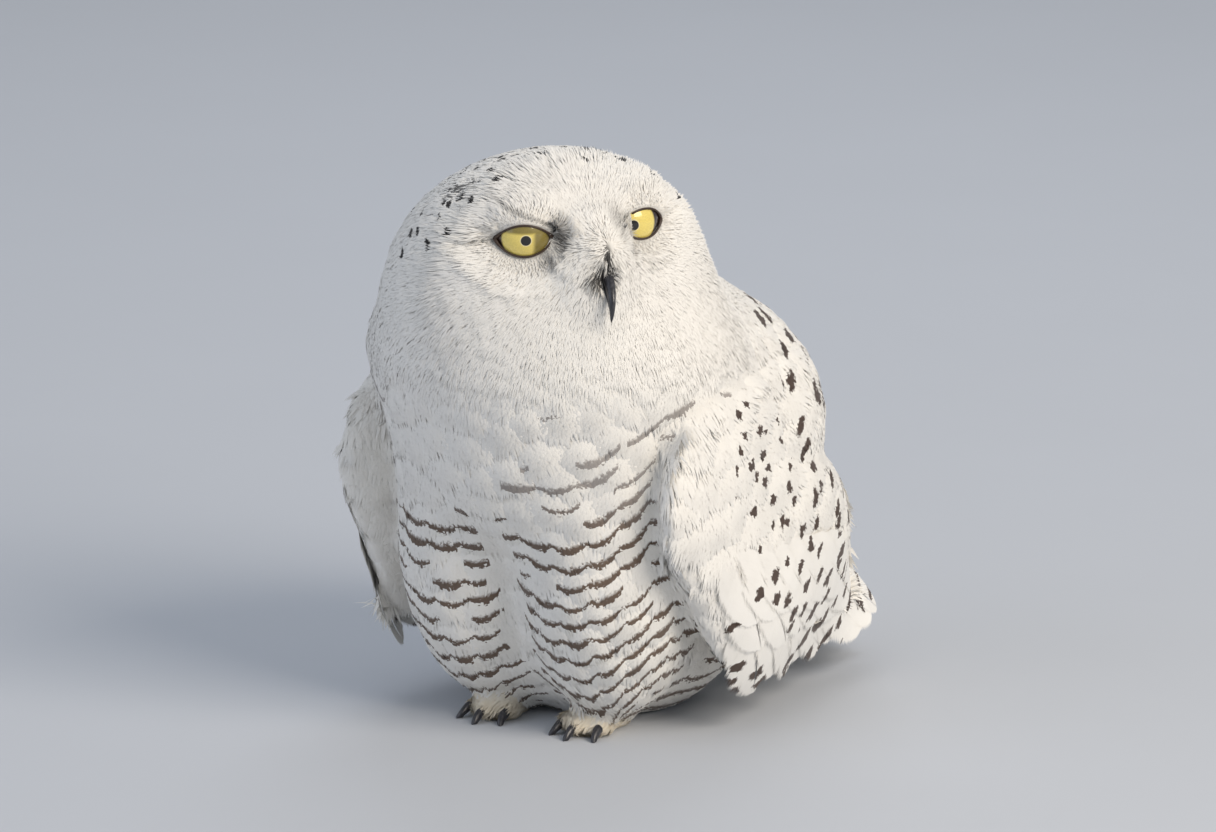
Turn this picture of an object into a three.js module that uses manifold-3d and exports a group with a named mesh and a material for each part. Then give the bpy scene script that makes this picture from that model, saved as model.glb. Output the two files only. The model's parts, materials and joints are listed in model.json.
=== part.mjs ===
// Snowy owl, life size, sitting hunched on the ground with its head turned to its own left.
// Millimetres, +Z up. The body faces -Y and its left side is +X. The origin is the middle of the
// floor of its bounding box.
//
// Head, neck, trunk and legs are one smooth mass, a blend of ellipsoids, parted by thin cuts.
// Wings, tail, feet, claws, bill and eyes are solids of their own that stand clear of it.
// The masses below are placed in a frame of their own, with Y = 0 near the ends of the toes,
// and the finished bird is moved from there to its origin.

import * as THREE from "three";
import { mergeVertices } from "three/addons/utils/BufferGeometryUtils.js";
import Module from "manifold-3d";

const wasm = await Module();
wasm.setup();

// ---------------------------------------------------------------- driving sizes

const GAP = 0.3; // left between solids that meet

const NECK_TOP = 284; // the cut between head and neck
const NECK_BOTTOM = 248; // the cut between neck and trunk
const LEG_CUT = { normal: [0, -0.763, -0.647], offset: -61 }; // the trunk in front of it is leg

const HEAD_AT = new THREE.Vector3(3, 10, 318); // the point that the head turns about
const HEAD_YAW = 60; // degrees, towards the bird's left

const EYE_RADIUS = 22;
const EYE_SPREAD = 38; // from the face's midline to an eye's centre
const EYE_FORWARD = 50.5; // from HEAD_AT to the eyes' centres
const EYE_UP = 44;
const EYE_SPLAY = 10; // degrees by which each eye points outwards
const EYE_OPENING = { width: 41, height: 22 }; // between the lids
const LID = 2; // thickness of the lids over the eyeball

const BILL = { root: [-1, -86, 25], length: 48, width: 11, depth: 14, pitch: 16, hook: 76 };
const LOWER_BILL = { scale: 0.72, drop: 7.5 }; // against the upper half
const BILL_CLEARANCE = 1.04; // the bill's socket in the head, against the bill

const FEATHER_THICKNESS = 1.8; // of a single flight or tail feather
const LOWER_TIPS = 5; // feather tips along a wing's lower edge
const REAR_TIPS = 3; // and those that cross the rump towards the tail
const WING_FEATHER_WIDTH = { lower: 44, rear: 36 };

const TAIL = { feathers: 7, length: 136, width: 38, spread: 26, root: [0, 186, 60], slope: 17 };

const FOOT_APART = 38; // from the midline to each foot
const HEEL = 36; // from Y = 0 back to where the toes part
const TOE_RADIUS = 9.5;
const TOES = [
  { name: "inner", angle: -24, length: 34 },
  { name: "middle", angle: 0, length: 38 },
  { name: "outer", angle: 26, length: 34 },
];
const CLAW = { length: 22, width: 7.2, depth: 8.6, hook: 75, rings: 4, rise: 7.5, lift: 12 };

const radians = THREE.MathUtils.degToRad;
const v3 = (x, y, z) => new THREE.Vector3(x, y, z);
const SIDES = { left: 1, right: -1 };

// ---------------------------------------------------------------- solids and meshes

// A closed three.js geometry as a manifold-3d solid.
function solidOf(geometry) {
  const bare = geometry.clone();
  bare.deleteAttribute("normal");
  bare.deleteAttribute("uv");
  const merged = mergeVertices(bare, 1e-3);
  return new wasm.Manifold(
    new wasm.Mesh({
      numProp: 3,
      vertProperties: merged.attributes.position.array,
      triVerts: new Uint32Array(merged.index.array),
    }),
  );
}

// A solid as a named mesh of one colour.
function meshOf(name, solid, material) {
  const { numVert, numProp, vertProperties, triVerts } = solid.getMesh();
  const positions = new Float32Array(numVert * 3);
  for (let i = 0; i < numVert; i += 1) {
    positions.set(vertProperties.subarray(i * numProp, i * numProp + 3), i * 3);
  }
  const geometry = new THREE.BufferGeometry();
  geometry.setAttribute("position", new THREE.BufferAttribute(positions, 3));
  geometry.setIndex(new THREE.BufferAttribute(triVerts, 1));
  geometry.computeVertexNormals();
  const mesh = new THREE.Mesh(geometry, material);
  mesh.name = name;
  return mesh;
}

// The part of a solid where normal . p > offset, and the part where it is less.
const beyond = (solid, normal, offset) => solid.trimByPlane(normal, offset);
const before = (solid, normal, offset) => solid.trimByPlane(normal.map((x) => -x), -offset);
const UP = [0, 0, 1];

// A matrix that turns by degrees about X, Y, Z and then moves to a place.
function placed(at, degrees = [0, 0, 0]) {
  const turn = new THREE.Euler(...degrees.map(radians), "XYZ");
  return new THREE.Matrix4().makeRotationFromEuler(turn).setPosition(...at);
}

// ---------------------------------------------------------------- smooth masses

// The rough distance from a point to an ellipsoid, negative inside it.
function ellipsoid({ at, radii, turn }) {
  const toLocal = placed(at, turn).invert();
  const r = v3(...radii);
  const q = v3(0, 0, 0);
  return (p) => {
    q.copy(p).applyMatrix4(toLocal).divide(r);
    const near = q.length();
    return (near * (near - 1)) / Math.max(q.divide(r).length(), 1e-9);
  };
}

// The smaller of two distances, rounded where they are within blend of each other.
function smoothMin(a, b, blend) {
  const h = Math.max(blend - Math.abs(a - b), 0) / blend;
  return Math.min(a, b) - h * h * blend * 0.25;
}

// Masses joined one after another, each with its own blend, as one distance.
function blended(masses) {
  const parts = masses.map((mass) => ({ far: ellipsoid(mass), blend: mass.blend ?? 1 }));
  return (p) => parts.reduce((d, { far, blend }) => smoothMin(d, far(p), blend), 1e6);
}

const mirrored = (mass) => ({
  ...mass,
  at: [-mass.at[0], mass.at[1], mass.at[2]],
  turn: mass.turn && [mass.turn[0], -mass.turn[1], -mass.turn[2]],
});

// The surface where a distance is level, as seen from a centre: an icosphere stretched to radii,
// with each vertex slid along its own ray to the outermost crossing.
function surfaceSolid(distance, { at, radii, detail, level = 0 }) {
  const sphere = new THREE.IcosahedronGeometry(1, detail);
  const geometry = mergeVertices(sphere.deleteAttribute("normal").deleteAttribute("uv"), 1e-4);
  const centre = v3(...at);
  const stretch = v3(...radii);
  const place = geometry.attributes.position;
  const ray = v3(0, 0, 0);
  const p = v3(0, 0, 0);
  const pointAt = (t) => p.copy(ray).multiplyScalar(t).add(centre);
  const outside = (t) => distance(pointAt(t)) > level;
  const farthest = 3; // in lengths of the ray
  const step = 0.02;
  for (let i = 0; i < place.count; i += 1) {
    ray.fromBufferAttribute(place, i).multiply(stretch);
    let low = farthest;
    while (low > step && outside(low)) low -= step;
    let high = low + step;
    for (let k = 0; k < 20; k += 1) {
      const middle = (low + high) / 2;
      if (outside(middle)) high = middle;
      else low = middle;
    }
    place.setXYZ(i, ...pointAt(low).toArray());
  }
  return solidOf(geometry);
}

// ---------------------------------------------------------------- materials

const material = (color, roughness) => new THREE.MeshStandardMaterial({ color, roughness });

const PLUMAGE = material("#efece6", 0.95);
const FLIGHT_FEATHER = material("#e8e4dc", 0.8);
const IRIS = material("#e0c23a", 0.15);
const HORN = material("#26262a", 0.35);

// ---------------------------------------------------------------- the body's one mass

// From the head's own frame, which faces -Y, to the part's frame.
const headFrame = new THREE.Matrix4().makeRotationZ(radians(HEAD_YAW)).setPosition(HEAD_AT);
const toHead = headFrame.clone().invert();

const BROW = { at: [36, -47, 56], radii: [28, 24, 16], turn: [0, 0, 12], blend: 14 };
const HEAD_MASSES = [
  { at: [0, 1, -8], radii: [112, 92, 91] }, // skull and ruff
  { at: [0, -21, 17], radii: [94, 60, 67], blend: 20 }, // face
  { at: [0, -78, 20], radii: [24, 26, 32], blend: 22 }, // bristles round the bill
  BROW,
  mirrored(BROW),
];

const TRUNK_MASSES = [
  { at: [-7, 38, 258], radii: [134, 120, 68] }, // shoulders
  { at: [0, 26, 208], radii: [112, 104, 92], blend: 40 }, // breast
  { at: [2, 134, 196], radii: [130, 108, 100], blend: 40 }, // mantle
  { at: [0, 94, 90], radii: [104, 104, 103], blend: 40 }, // belly
  { at: [0, 176, 122], radii: [98, 112, 76], turn: [-34, 0, 0], blend: 50 }, // rump
];

const LEG_LOBE = { at: [51, 14, 122], radii: [58, 62, 112], turn: [7, 0, 0], blend: 7 };
const LEG_BLEND = 26; // of the two lobes of feathers over the legs with the trunk
const HEAD_BLEND = 40;

const faceDistance = blended(HEAD_MASSES);
const trunkDistance = blended(TRUNK_MASSES);
const legDistance = blended([LEG_LOBE, mirrored(LEG_LOBE)]);
const inHead = v3(0, 0, 0);

function bodyDistance(p) {
  const head = faceDistance(inHead.copy(p).applyMatrix4(toHead));
  const standing = smoothMin(trunkDistance(p), legDistance(p), LEG_BLEND);
  return smoothMin(standing, head, HEAD_BLEND);
}

const BODY_VIEW = { at: [4, 46, 205], radii: [115, 130, 190], detail: 10 };

// ---------------------------------------------------------------- head, eyes and bill

function eyeFrame(side) {
  const inFace = placed([side * EYE_SPREAD, -EYE_FORWARD, EYE_UP], [0, 0, side * EYE_SPLAY]);
  return inFace.premultiply(headFrame);
}

function eyeball(side, extra = 0) {
  const ball = new THREE.IcosahedronGeometry(EYE_RADIUS + extra, 3);
  return solidOf(ball.applyMatrix4(eyeFrame(side)));
}

// The almond between the lids, as a prism that runs forward from the eye's centre.
function lidOpening(side) {
  const half = EYE_OPENING.width / 2;
  const rise = EYE_OPENING.height / 2;
  const bow = (half * half + rise * rise) / (2 * rise);
  const sweep = Math.asin(half / bow);
  const almond = new THREE.Shape();
  almond.absarc(0, rise - bow, bow, Math.PI / 2 + sweep, Math.PI / 2 - sweep, true);
  almond.absarc(0, bow - rise, bow, -Math.PI / 2 + sweep, -Math.PI / 2 - sweep, true);
  const prism = new THREE.ExtrudeGeometry(almond, {
    depth: 2 * EYE_RADIUS,
    bevelEnabled: false,
    curveSegments: 8,
  });
  prism.rotateX(Math.PI / 2);
  return solidOf(prism.applyMatrix4(eyeFrame(side)));
}

// A pointed horn along +Z that is oval across and bends towards -Y by `hook` degrees.
function horn({ length, width, depth, hook, rings = 6 }) {
  const profile = [new THREE.Vector2(0, 0)];
  for (let i = 0; i < rings; i += 1) {
    const t = i / rings;
    profile.push(new THREE.Vector2(0.5 * Math.pow(1 - t, 0.62), t));
  }
  profile.push(new THREE.Vector2(0, 1));
  const geometry = new THREE.LatheGeometry(profile, 9).rotateX(Math.PI / 2);
  const place = geometry.attributes.position;
  const bend = radians(hook);
  const radius = length / bend;
  for (let i = 0; i < place.count; i += 1) {
    const angle = bend * place.getZ(i);
    const across = place.getY(i) * depth;
    place.setXYZ(
      i,
      place.getX(i) * width,
      across * Math.cos(angle) - radius * (1 - Math.cos(angle)),
      radius * Math.sin(angle) + across * Math.sin(angle),
    );
  }
  return geometry;
}

// A half of the bill, which points forward from its root and hooks down.
function billSolid(scale, drop) {
  const { root, length, width, depth, pitch, hook } = BILL;
  const shape = horn({
    length: length * scale,
    width: width * scale,
    depth: depth * scale,
    hook: hook * scale,
  });
  shape.rotateX(radians(90 + pitch));
  shape.translate(root[0], root[1], root[2] - drop);
  return solidOf(shape.applyMatrix4(headFrame));
}

function buildHead(body) {
  let head = beyond(body, UP, NECK_TOP + GAP / 2);
  const meshes = [];
  for (const [word, side] of Object.entries(SIDES)) {
    const lids = eyeball(side, LID);
    const socket = eyeball(side, GAP);
    head = head.add(lids).subtract(lidOpening(side)).subtract(socket);
    meshes.push(meshOf(`eye_${word}`, eyeball(side), IRIS));
  }
  const { scale, drop } = LOWER_BILL;
  const upperSocket = billSolid(BILL_CLEARANCE, 0);
  const lower = billSolid(scale, drop).subtract(upperSocket);
  head = head.subtract(upperSocket).subtract(billSolid(scale * BILL_CLEARANCE, drop));
  meshes.push(meshOf("bill_upper", billSolid(1, 0), HORN));
  meshes.push(meshOf("bill_lower", lower, HORN));
  meshes.push(meshOf("head", head, PLUMAGE));
  return meshes;
}

// ---------------------------------------------------------------- wings

// Each wing hangs from the shoulder. The right one droops further forward, free of the belly.
const WINGS = {
  left: {
    masses: [
      { at: [114, 76, 178], radii: [24, 106, 80], turn: [0, 0, 9] }, // coverts
      { at: [123, 56, 112], radii: [16, 86, 40], turn: [-51, 0, 0], blend: 20 }, // leading edge
      { at: [118, 118, 94], radii: [17, 84, 60], turn: [0, 4, 7], blend: 24 }, // outer wing
      { at: [97, 182, 106], radii: [22, 88, 58], turn: [-43, 0, 12], blend: 30 }, // inner wing
    ],
    firstTip: { root: [124, 50, 100], tip: [124, 86, 26] },
    lastTip: { root: [98, 190, 86], tip: [94, 278, 33] },
  },
  right: {
    masses: [
      { at: [-119, 66, 178], radii: [26, 106, 80], turn: [0, 0, -8] },
      { at: [-127, 36, 108], radii: [17, 86, 42], turn: [-62, 0, 0], blend: 20 },
      { at: [-120, 106, 92], radii: [18, 92, 60], turn: [0, -4, -7], blend: 24 },
      { at: [-97, 182, 106], radii: [22, 88, 58], turn: [-43, 0, -12], blend: 30 },
    ],
    firstTip: { root: [-128, 12, 100], tip: [-122, 26, 36] },
    lastTip: { root: [-98, 190, 86], tip: [-94, 278, 33] },
  },
};
const REAR_FAN = {
  root: { outer: [94, 190, 104], inner: [84, 188, 140] },
  tip: { outer: [80, 298, 36], inner: [60, 292, 62] },
};

// A flat feather from its root at the origin to its rounded tip at +Y, thin along Z.
function vane(length, width) {
  const steps = [0, 0.4, 0.75, 0.93];
  const half = (t) => 0.5 * width * Math.sqrt(1 - t ** 5) * Math.min(1, 0.5 + 1.2 * t);
  const right = steps.map((t) => new THREE.Vector2(half(t), t * length));
  const left = steps.map((t) => new THREE.Vector2(-half(t), t * length)).reverse();
  const outline = new THREE.Shape([...right, new THREE.Vector2(0, length), ...left]);
  const flat = new THREE.ExtrudeGeometry(outline, {
    depth: FEATHER_THICKNESS,
    bevelEnabled: false,
  });
  return flat.translate(0, 0, -FEATHER_THICKNESS / 2);
}

// A feather set from its root towards its tip, with its flat face turned to `outward`.
function feather({ root, tip, outward, width }) {
  const along = v3(...tip).sub(v3(...root));
  const length = along.length();
  along.normalize();
  const side = along.clone().cross(v3(...outward)).normalize();
  const face = side.clone().cross(along);
  const frame = new THREE.Matrix4().makeBasis(side, along, face).setPosition(...root);
  return solidOf(vane(length, width).applyMatrix4(frame));
}

const between = (a, b, t) => a.map((x, i) => x + (b[i] - x) * t);

// The tips that hang below the wing, from the leading one to the last secondary.
function lowerTips({ firstTip, lastTip }, side) {
  return Array.from({ length: LOWER_TIPS }, (_, i) => {
    const t = i / (LOWER_TIPS - 1);
    return feather({
      root: between(firstTip.root, lastTip.root, t),
      tip: between(firstTip.tip, lastTip.tip, t),
      outward: [side, 0.25, 0.13],
      width: WING_FEATHER_WIDTH.lower,
    });
  });
}

// The folded primaries, which cross the rump towards the tail.
function rearTips(side) {
  const { root, tip } = REAR_FAN;
  const onSide = ([x, y, z]) => [side * x, y, z];
  return Array.from({ length: REAR_TIPS }, (_, i) => {
    const t = i / (REAR_TIPS - 1);
    return feather({
      root: onSide(between(root.outer, root.inner, t)),
      tip: onSide(between(tip.outer, tip.inner, t)),
      outward: [side * 0.65, 0.44, 0.62],
      width: WING_FEATHER_WIDTH.rear,
    });
  });
}

function buildWing(word, side, body) {
  const wing = WINGS[word];
  const view = { at: [side * 112, 110, 135], radii: [26, 130, 95], detail: 4 };
  let solid = surfaceSolid(blended(wing.masses), view);
  for (const tip of [...lowerTips(wing, side), ...rearTips(side)]) solid = solid.add(tip);
  return solid.subtract(body);
}

// ---------------------------------------------------------------- tail

const TAIL_ROOT = { width: 60, crown: 6 }; // how far the roots spread, and the middle one's rise

function buildTail(body) {
  const { feathers, length, width, spread, root, slope } = TAIL;
  const solids = Array.from({ length: feathers }, (_, i) => {
    const t = i / (feathers - 1) - 0.5;
    const angle = radians(spread * t);
    const from = [
      root[0] + TAIL_ROOT.width * t,
      root[1],
      root[2] + TAIL_ROOT.crown * (1 - 4 * t * t),
    ];
    const tip = [
      from[0] + length * Math.sin(angle),
      from[1] + length * Math.cos(angle) * Math.cos(radians(slope)),
      from[2] - length * Math.sin(radians(slope)),
    ];
    return feather({ root: from, tip, outward: [0.5 * t, 0.3, 1], width });
  });
  return solids.reduce((all, one) => all.add(one)).subtract(body);
}

// ---------------------------------------------------------------- feet and claws

// The point on a foot's sole that is `reach` along a toe, and at a height above it.
function onToe(side, angle, reach, height) {
  const a = radians(angle) * side;
  return [side * FOOT_APART + reach * Math.sin(a), HEEL - reach * Math.cos(a), height];
}

function footMasses(side) {
  const toes = TOES.map(({ angle, length }) => ({
    at: onToe(side, angle, length * 0.62, TOE_RADIUS - 1),
    radii: [TOE_RADIUS, length * 0.52, TOE_RADIUS],
    turn: [0, 0, angle * side],
    blend: 8,
  }));
  return [{ at: [side * FOOT_APART, HEEL + 4, 14], radii: [17, 26, 17] }, ...toes];
}

function buildClaw(side, { angle, length }) {
  const at = onToe(side, angle, length * 1.06, CLAW.rise);
  const claw = horn(CLAW).applyMatrix4(placed(at, [90 + CLAW.lift, 0, angle * side]));
  return beyond(solidOf(claw), UP, 0);
}

function buildFeet(word, side, body) {
  const view = { at: [side * FOOT_APART, 24, 9], radii: [24, 34, 10], detail: 3 };
  let foot = surfaceSolid(blended(footMasses(side)), view);
  foot = beyond(foot, UP, 0).subtract(body);
  const claws = TOES.map((toe) => ({ name: toe.name, solid: buildClaw(side, toe) }));
  for (const { solid } of claws) foot = foot.subtract(solid);
  return [
    ...claws.map(({ name, solid }) => meshOf(`claw_${word}_${name}`, solid, HORN)),
    meshOf(`foot_${word}`, foot, PLUMAGE),
  ];
}

// ---------------------------------------------------------------- the whole bird

const owl = new THREE.Group();
const body = beyond(surfaceSolid(bodyDistance, BODY_VIEW), UP, 0);
const clearance = surfaceSolid(bodyDistance, { ...BODY_VIEW, level: GAP });

owl.add(...buildHead(body));

const neckAndBelow = before(body, UP, NECK_TOP - GAP / 2);
owl.add(meshOf("neck", beyond(neckAndBelow, UP, NECK_BOTTOM + GAP / 2), PLUMAGE));

const { normal, offset } = LEG_CUT;
const trunkAndLegs = before(body, UP, NECK_BOTTOM - GAP / 2);
owl.add(meshOf("trunk", before(trunkAndLegs, normal, offset - GAP / 2), PLUMAGE));

const legs = beyond(trunkAndLegs, normal, offset + GAP / 2);
for (const [word, side] of Object.entries(SIDES)) {
  owl.add(meshOf(`leg_${word}`, beyond(legs, [side, 0, 0], GAP / 2), PLUMAGE));
  owl.add(meshOf(`wing_${word}`, buildWing(word, side, clearance), PLUMAGE));
  owl.add(...buildFeet(word, side, clearance));
}
owl.add(meshOf("tail", buildTail(clearance), FLIGHT_FEATHER));

// The origin goes to the middle of the bounding box's floor.
const bounds = new THREE.Box3().setFromObject(owl);
const centre = bounds.getCenter(v3(0, 0, 0));
for (const mesh of owl.children) mesh.geometry.translate(-centre.x, -centre.y, -bounds.min.z);

export default owl;
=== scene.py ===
"""Snowy owl, life size, hunched on the ground with its head turned to its own left.

One skin stands for the flesh, and a coat of small mesh tufts and feathers lies over it. Inside
the classes lengths are millimetres in the bird's frame: X to its left, Y backwards, Z up from
the floor. Meshes are written in metres in the frame's own axes.
"""

import json
import logging
import math
from contextlib import contextmanager
from dataclasses import dataclass, field
from enum import IntEnum
from functools import cached_property
from typing import Iterator, Sequence

import bpy
import numpy as np
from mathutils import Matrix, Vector
from mathutils.bvhtree import BVHTree
from mathutils.kdtree import KDTree

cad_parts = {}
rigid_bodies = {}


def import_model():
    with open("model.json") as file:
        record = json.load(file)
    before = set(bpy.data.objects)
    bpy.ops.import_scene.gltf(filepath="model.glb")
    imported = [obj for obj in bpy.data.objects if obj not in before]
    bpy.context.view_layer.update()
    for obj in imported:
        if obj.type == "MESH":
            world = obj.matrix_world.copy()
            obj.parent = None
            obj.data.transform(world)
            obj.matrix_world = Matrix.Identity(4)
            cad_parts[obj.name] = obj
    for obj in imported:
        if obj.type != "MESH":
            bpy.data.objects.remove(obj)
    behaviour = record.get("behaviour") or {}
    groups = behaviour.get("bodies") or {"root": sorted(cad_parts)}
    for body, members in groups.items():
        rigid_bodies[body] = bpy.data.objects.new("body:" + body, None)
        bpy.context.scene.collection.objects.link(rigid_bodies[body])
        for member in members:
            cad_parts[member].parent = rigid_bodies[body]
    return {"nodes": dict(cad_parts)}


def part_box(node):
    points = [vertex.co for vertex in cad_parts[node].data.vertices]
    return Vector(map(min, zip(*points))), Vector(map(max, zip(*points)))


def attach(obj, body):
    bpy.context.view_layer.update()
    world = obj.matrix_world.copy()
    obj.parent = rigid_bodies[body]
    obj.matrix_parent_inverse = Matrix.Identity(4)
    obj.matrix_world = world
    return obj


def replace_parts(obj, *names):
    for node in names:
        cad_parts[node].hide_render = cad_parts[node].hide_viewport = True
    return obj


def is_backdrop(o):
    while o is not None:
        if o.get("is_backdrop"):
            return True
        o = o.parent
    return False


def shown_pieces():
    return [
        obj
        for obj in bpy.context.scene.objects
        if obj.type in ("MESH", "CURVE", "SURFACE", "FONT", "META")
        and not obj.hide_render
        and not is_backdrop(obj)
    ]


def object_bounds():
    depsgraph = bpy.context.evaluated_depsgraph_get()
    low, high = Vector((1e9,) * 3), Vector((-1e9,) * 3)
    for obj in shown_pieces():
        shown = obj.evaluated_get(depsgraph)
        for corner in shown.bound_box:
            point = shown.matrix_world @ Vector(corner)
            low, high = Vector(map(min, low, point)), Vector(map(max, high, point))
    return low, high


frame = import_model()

CAD_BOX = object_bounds()
LOG = logging.getLogger("owl")

MM = 0.001
ROOT = "root"
SIDES = {"left": 1.0, "right": -1.0}
FLESH = ("head", "neck", "trunk", "leg_left", "leg_right", "foot_left", "foot_right",
         "wing_left", "wing_right")
BAKE_MAP = "OFBake"
MAP_PATCH = 0.003  # width of one tuft's patch on its piece's map

Array = np.ndarray
Socket = bpy.types.NodeSocket | float | tuple


# ------------------------------------------------------------------ small helpers

def linear(hex_colour: str) -> Array:
    """Turns an sRGB hex colour into linear RGB.

    Args:
        hex_colour: Six hex digits with a leading hash.

    Returns:
        Three linear values from 0 to 1.
    """
    c = np.array([int(hex_colour[i:i + 2], 16) / 255 for i in (1, 3, 5)])
    return np.where(c <= 0.04045, c / 12.92, ((c + 0.055) / 1.055) ** 2.4)


def smooth(low: float, high: float, x: Array) -> Array:
    """Returns the smooth step of x from 0 at low to 1 at high."""
    t = np.clip((x - low) / (high - low), 0.0, 1.0)
    return t * t * (3 - 2 * t)


def unit(v: Array) -> Array:
    """Returns the rows of v at length 1."""
    return v / np.maximum(np.linalg.norm(v, axis=-1, keepdims=True), 1e-9)


def flat_on(v: Array, normal: Array) -> Array:
    """Returns v laid on the plane across normal, at length 1."""
    return unit(v - (v * normal).sum(-1, keepdims=True) * normal)


def blob(p: Array, at: Sequence[float], radii: Sequence[float]) -> Array:
    """Returns a soft mask, 1 at a place and 0 beyond its radii."""
    q = np.linalg.norm((p - np.array(at)) / np.array(radii), axis=-1)
    return 1 - smooth(0.0, 1.0, q)


def waves(p: Array, size: float, seed: int) -> Array:
    """Smooth noise as a sum of a few plane waves.

    Args:
        p: Points, in millimetres.
        size: Rough width of one swell.
        seed: Picks the waves.

    Returns:
        One value for each point, about -1 to 1.
    """
    rng = np.random.default_rng(seed)
    total = np.zeros(len(p))
    for _ in range(6):
        direction = unit(rng.normal(size=3)) / (size * rng.uniform(0.7, 1.6))
        total += np.sin(p @ direction * math.tau / 2 + rng.uniform(0, math.tau))
    return total / 3.0


def only(*objects: bpy.types.Object) -> None:
    """Selects these objects alone and makes the first one active."""
    if bpy.context.object and bpy.context.object.mode != "OBJECT":
        bpy.ops.object.mode_set(mode="OBJECT")
    bpy.ops.object.select_all(action="DESELECT")
    for one in objects:
        one.select_set(True)
    bpy.context.view_layer.objects.active = objects[0]


@contextmanager
def editing(obj: bpy.types.Object, select: str = "SELECT") -> Iterator[None]:
    """Opens an object's mesh, with all of it selected or as said, and closes it again."""
    only(obj)
    bpy.ops.object.mode_set(mode="EDIT")
    if select:
        bpy.ops.mesh.select_all(action=select)
    yield
    bpy.ops.object.mode_set(mode="OBJECT")


def pick(obj: bpy.types.Object, chosen: Array) -> None:
    """Selects these of an object's vertices and nothing else."""
    with editing(obj, "DESELECT"):
        pass
    obj.data.vertices.foreach_set("select", chosen)


def new_object(name: str, data: bpy.types.ID) -> bpy.types.Object:
    """Puts an object with this data in the scene."""
    obj = bpy.data.objects.new(name, data)
    bpy.context.scene.collection.objects.link(obj)
    return obj


def copy_of(node: str, name: str) -> bpy.types.Object:
    """Copies a CAD node, with its loose triangles merged, as a new free object.

    Args:
        node: The CAD node's name.
        name: The copy's name.

    Returns:
        The copy.
    """
    copy = new_object(name, frame["nodes"][node].data.copy())
    copy.data.materials.clear()
    for key in list(copy.keys()):
        del copy[key]
    with editing(copy):
        bpy.ops.mesh.remove_doubles(threshold=1e-5)
    copy.data.name = name
    return copy


def surface_of(node: str) -> BVHTree:
    """Returns a CAD node's surface, ready to be measured."""
    mesh = frame["nodes"][node].data
    return BVHTree.FromPolygons([v.co for v in mesh.vertices],
                                [f.vertices for f in mesh.polygons])


def modify(obj: bpy.types.Object, kind: str, **settings: object) -> None:
    """Adds a modifier with its settings and applies it at once."""
    only(obj)
    modifier = obj.modifiers.new(kind.lower(), kind)
    for key, value in settings.items():
        setattr(modifier, key, value)
    bpy.ops.object.modifier_apply(modifier=modifier.name)


def points(obj: bpy.types.Object) -> Array:
    """Returns the object's vertices, in metres."""
    co = np.empty(len(obj.data.vertices) * 3, np.float32)
    obj.data.vertices.foreach_get("co", co)
    return co.reshape(-1, 3).astype(float)


def set_points(obj: bpy.types.Object, co: Array) -> None:
    """Writes the object's vertices, in metres."""
    obj.data.vertices.foreach_set("co", co.astype(np.float32).ravel())
    obj.data.update()


def normals(obj: bpy.types.Object) -> Array:
    """Returns the object's vertex normals."""
    out = np.empty(len(obj.data.vertices) * 3, np.float32)
    obj.data.vertices.foreach_get("normal", out)
    return out.reshape(-1, 3).astype(float)


# ------------------------------------------------------------------ where things are

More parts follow.
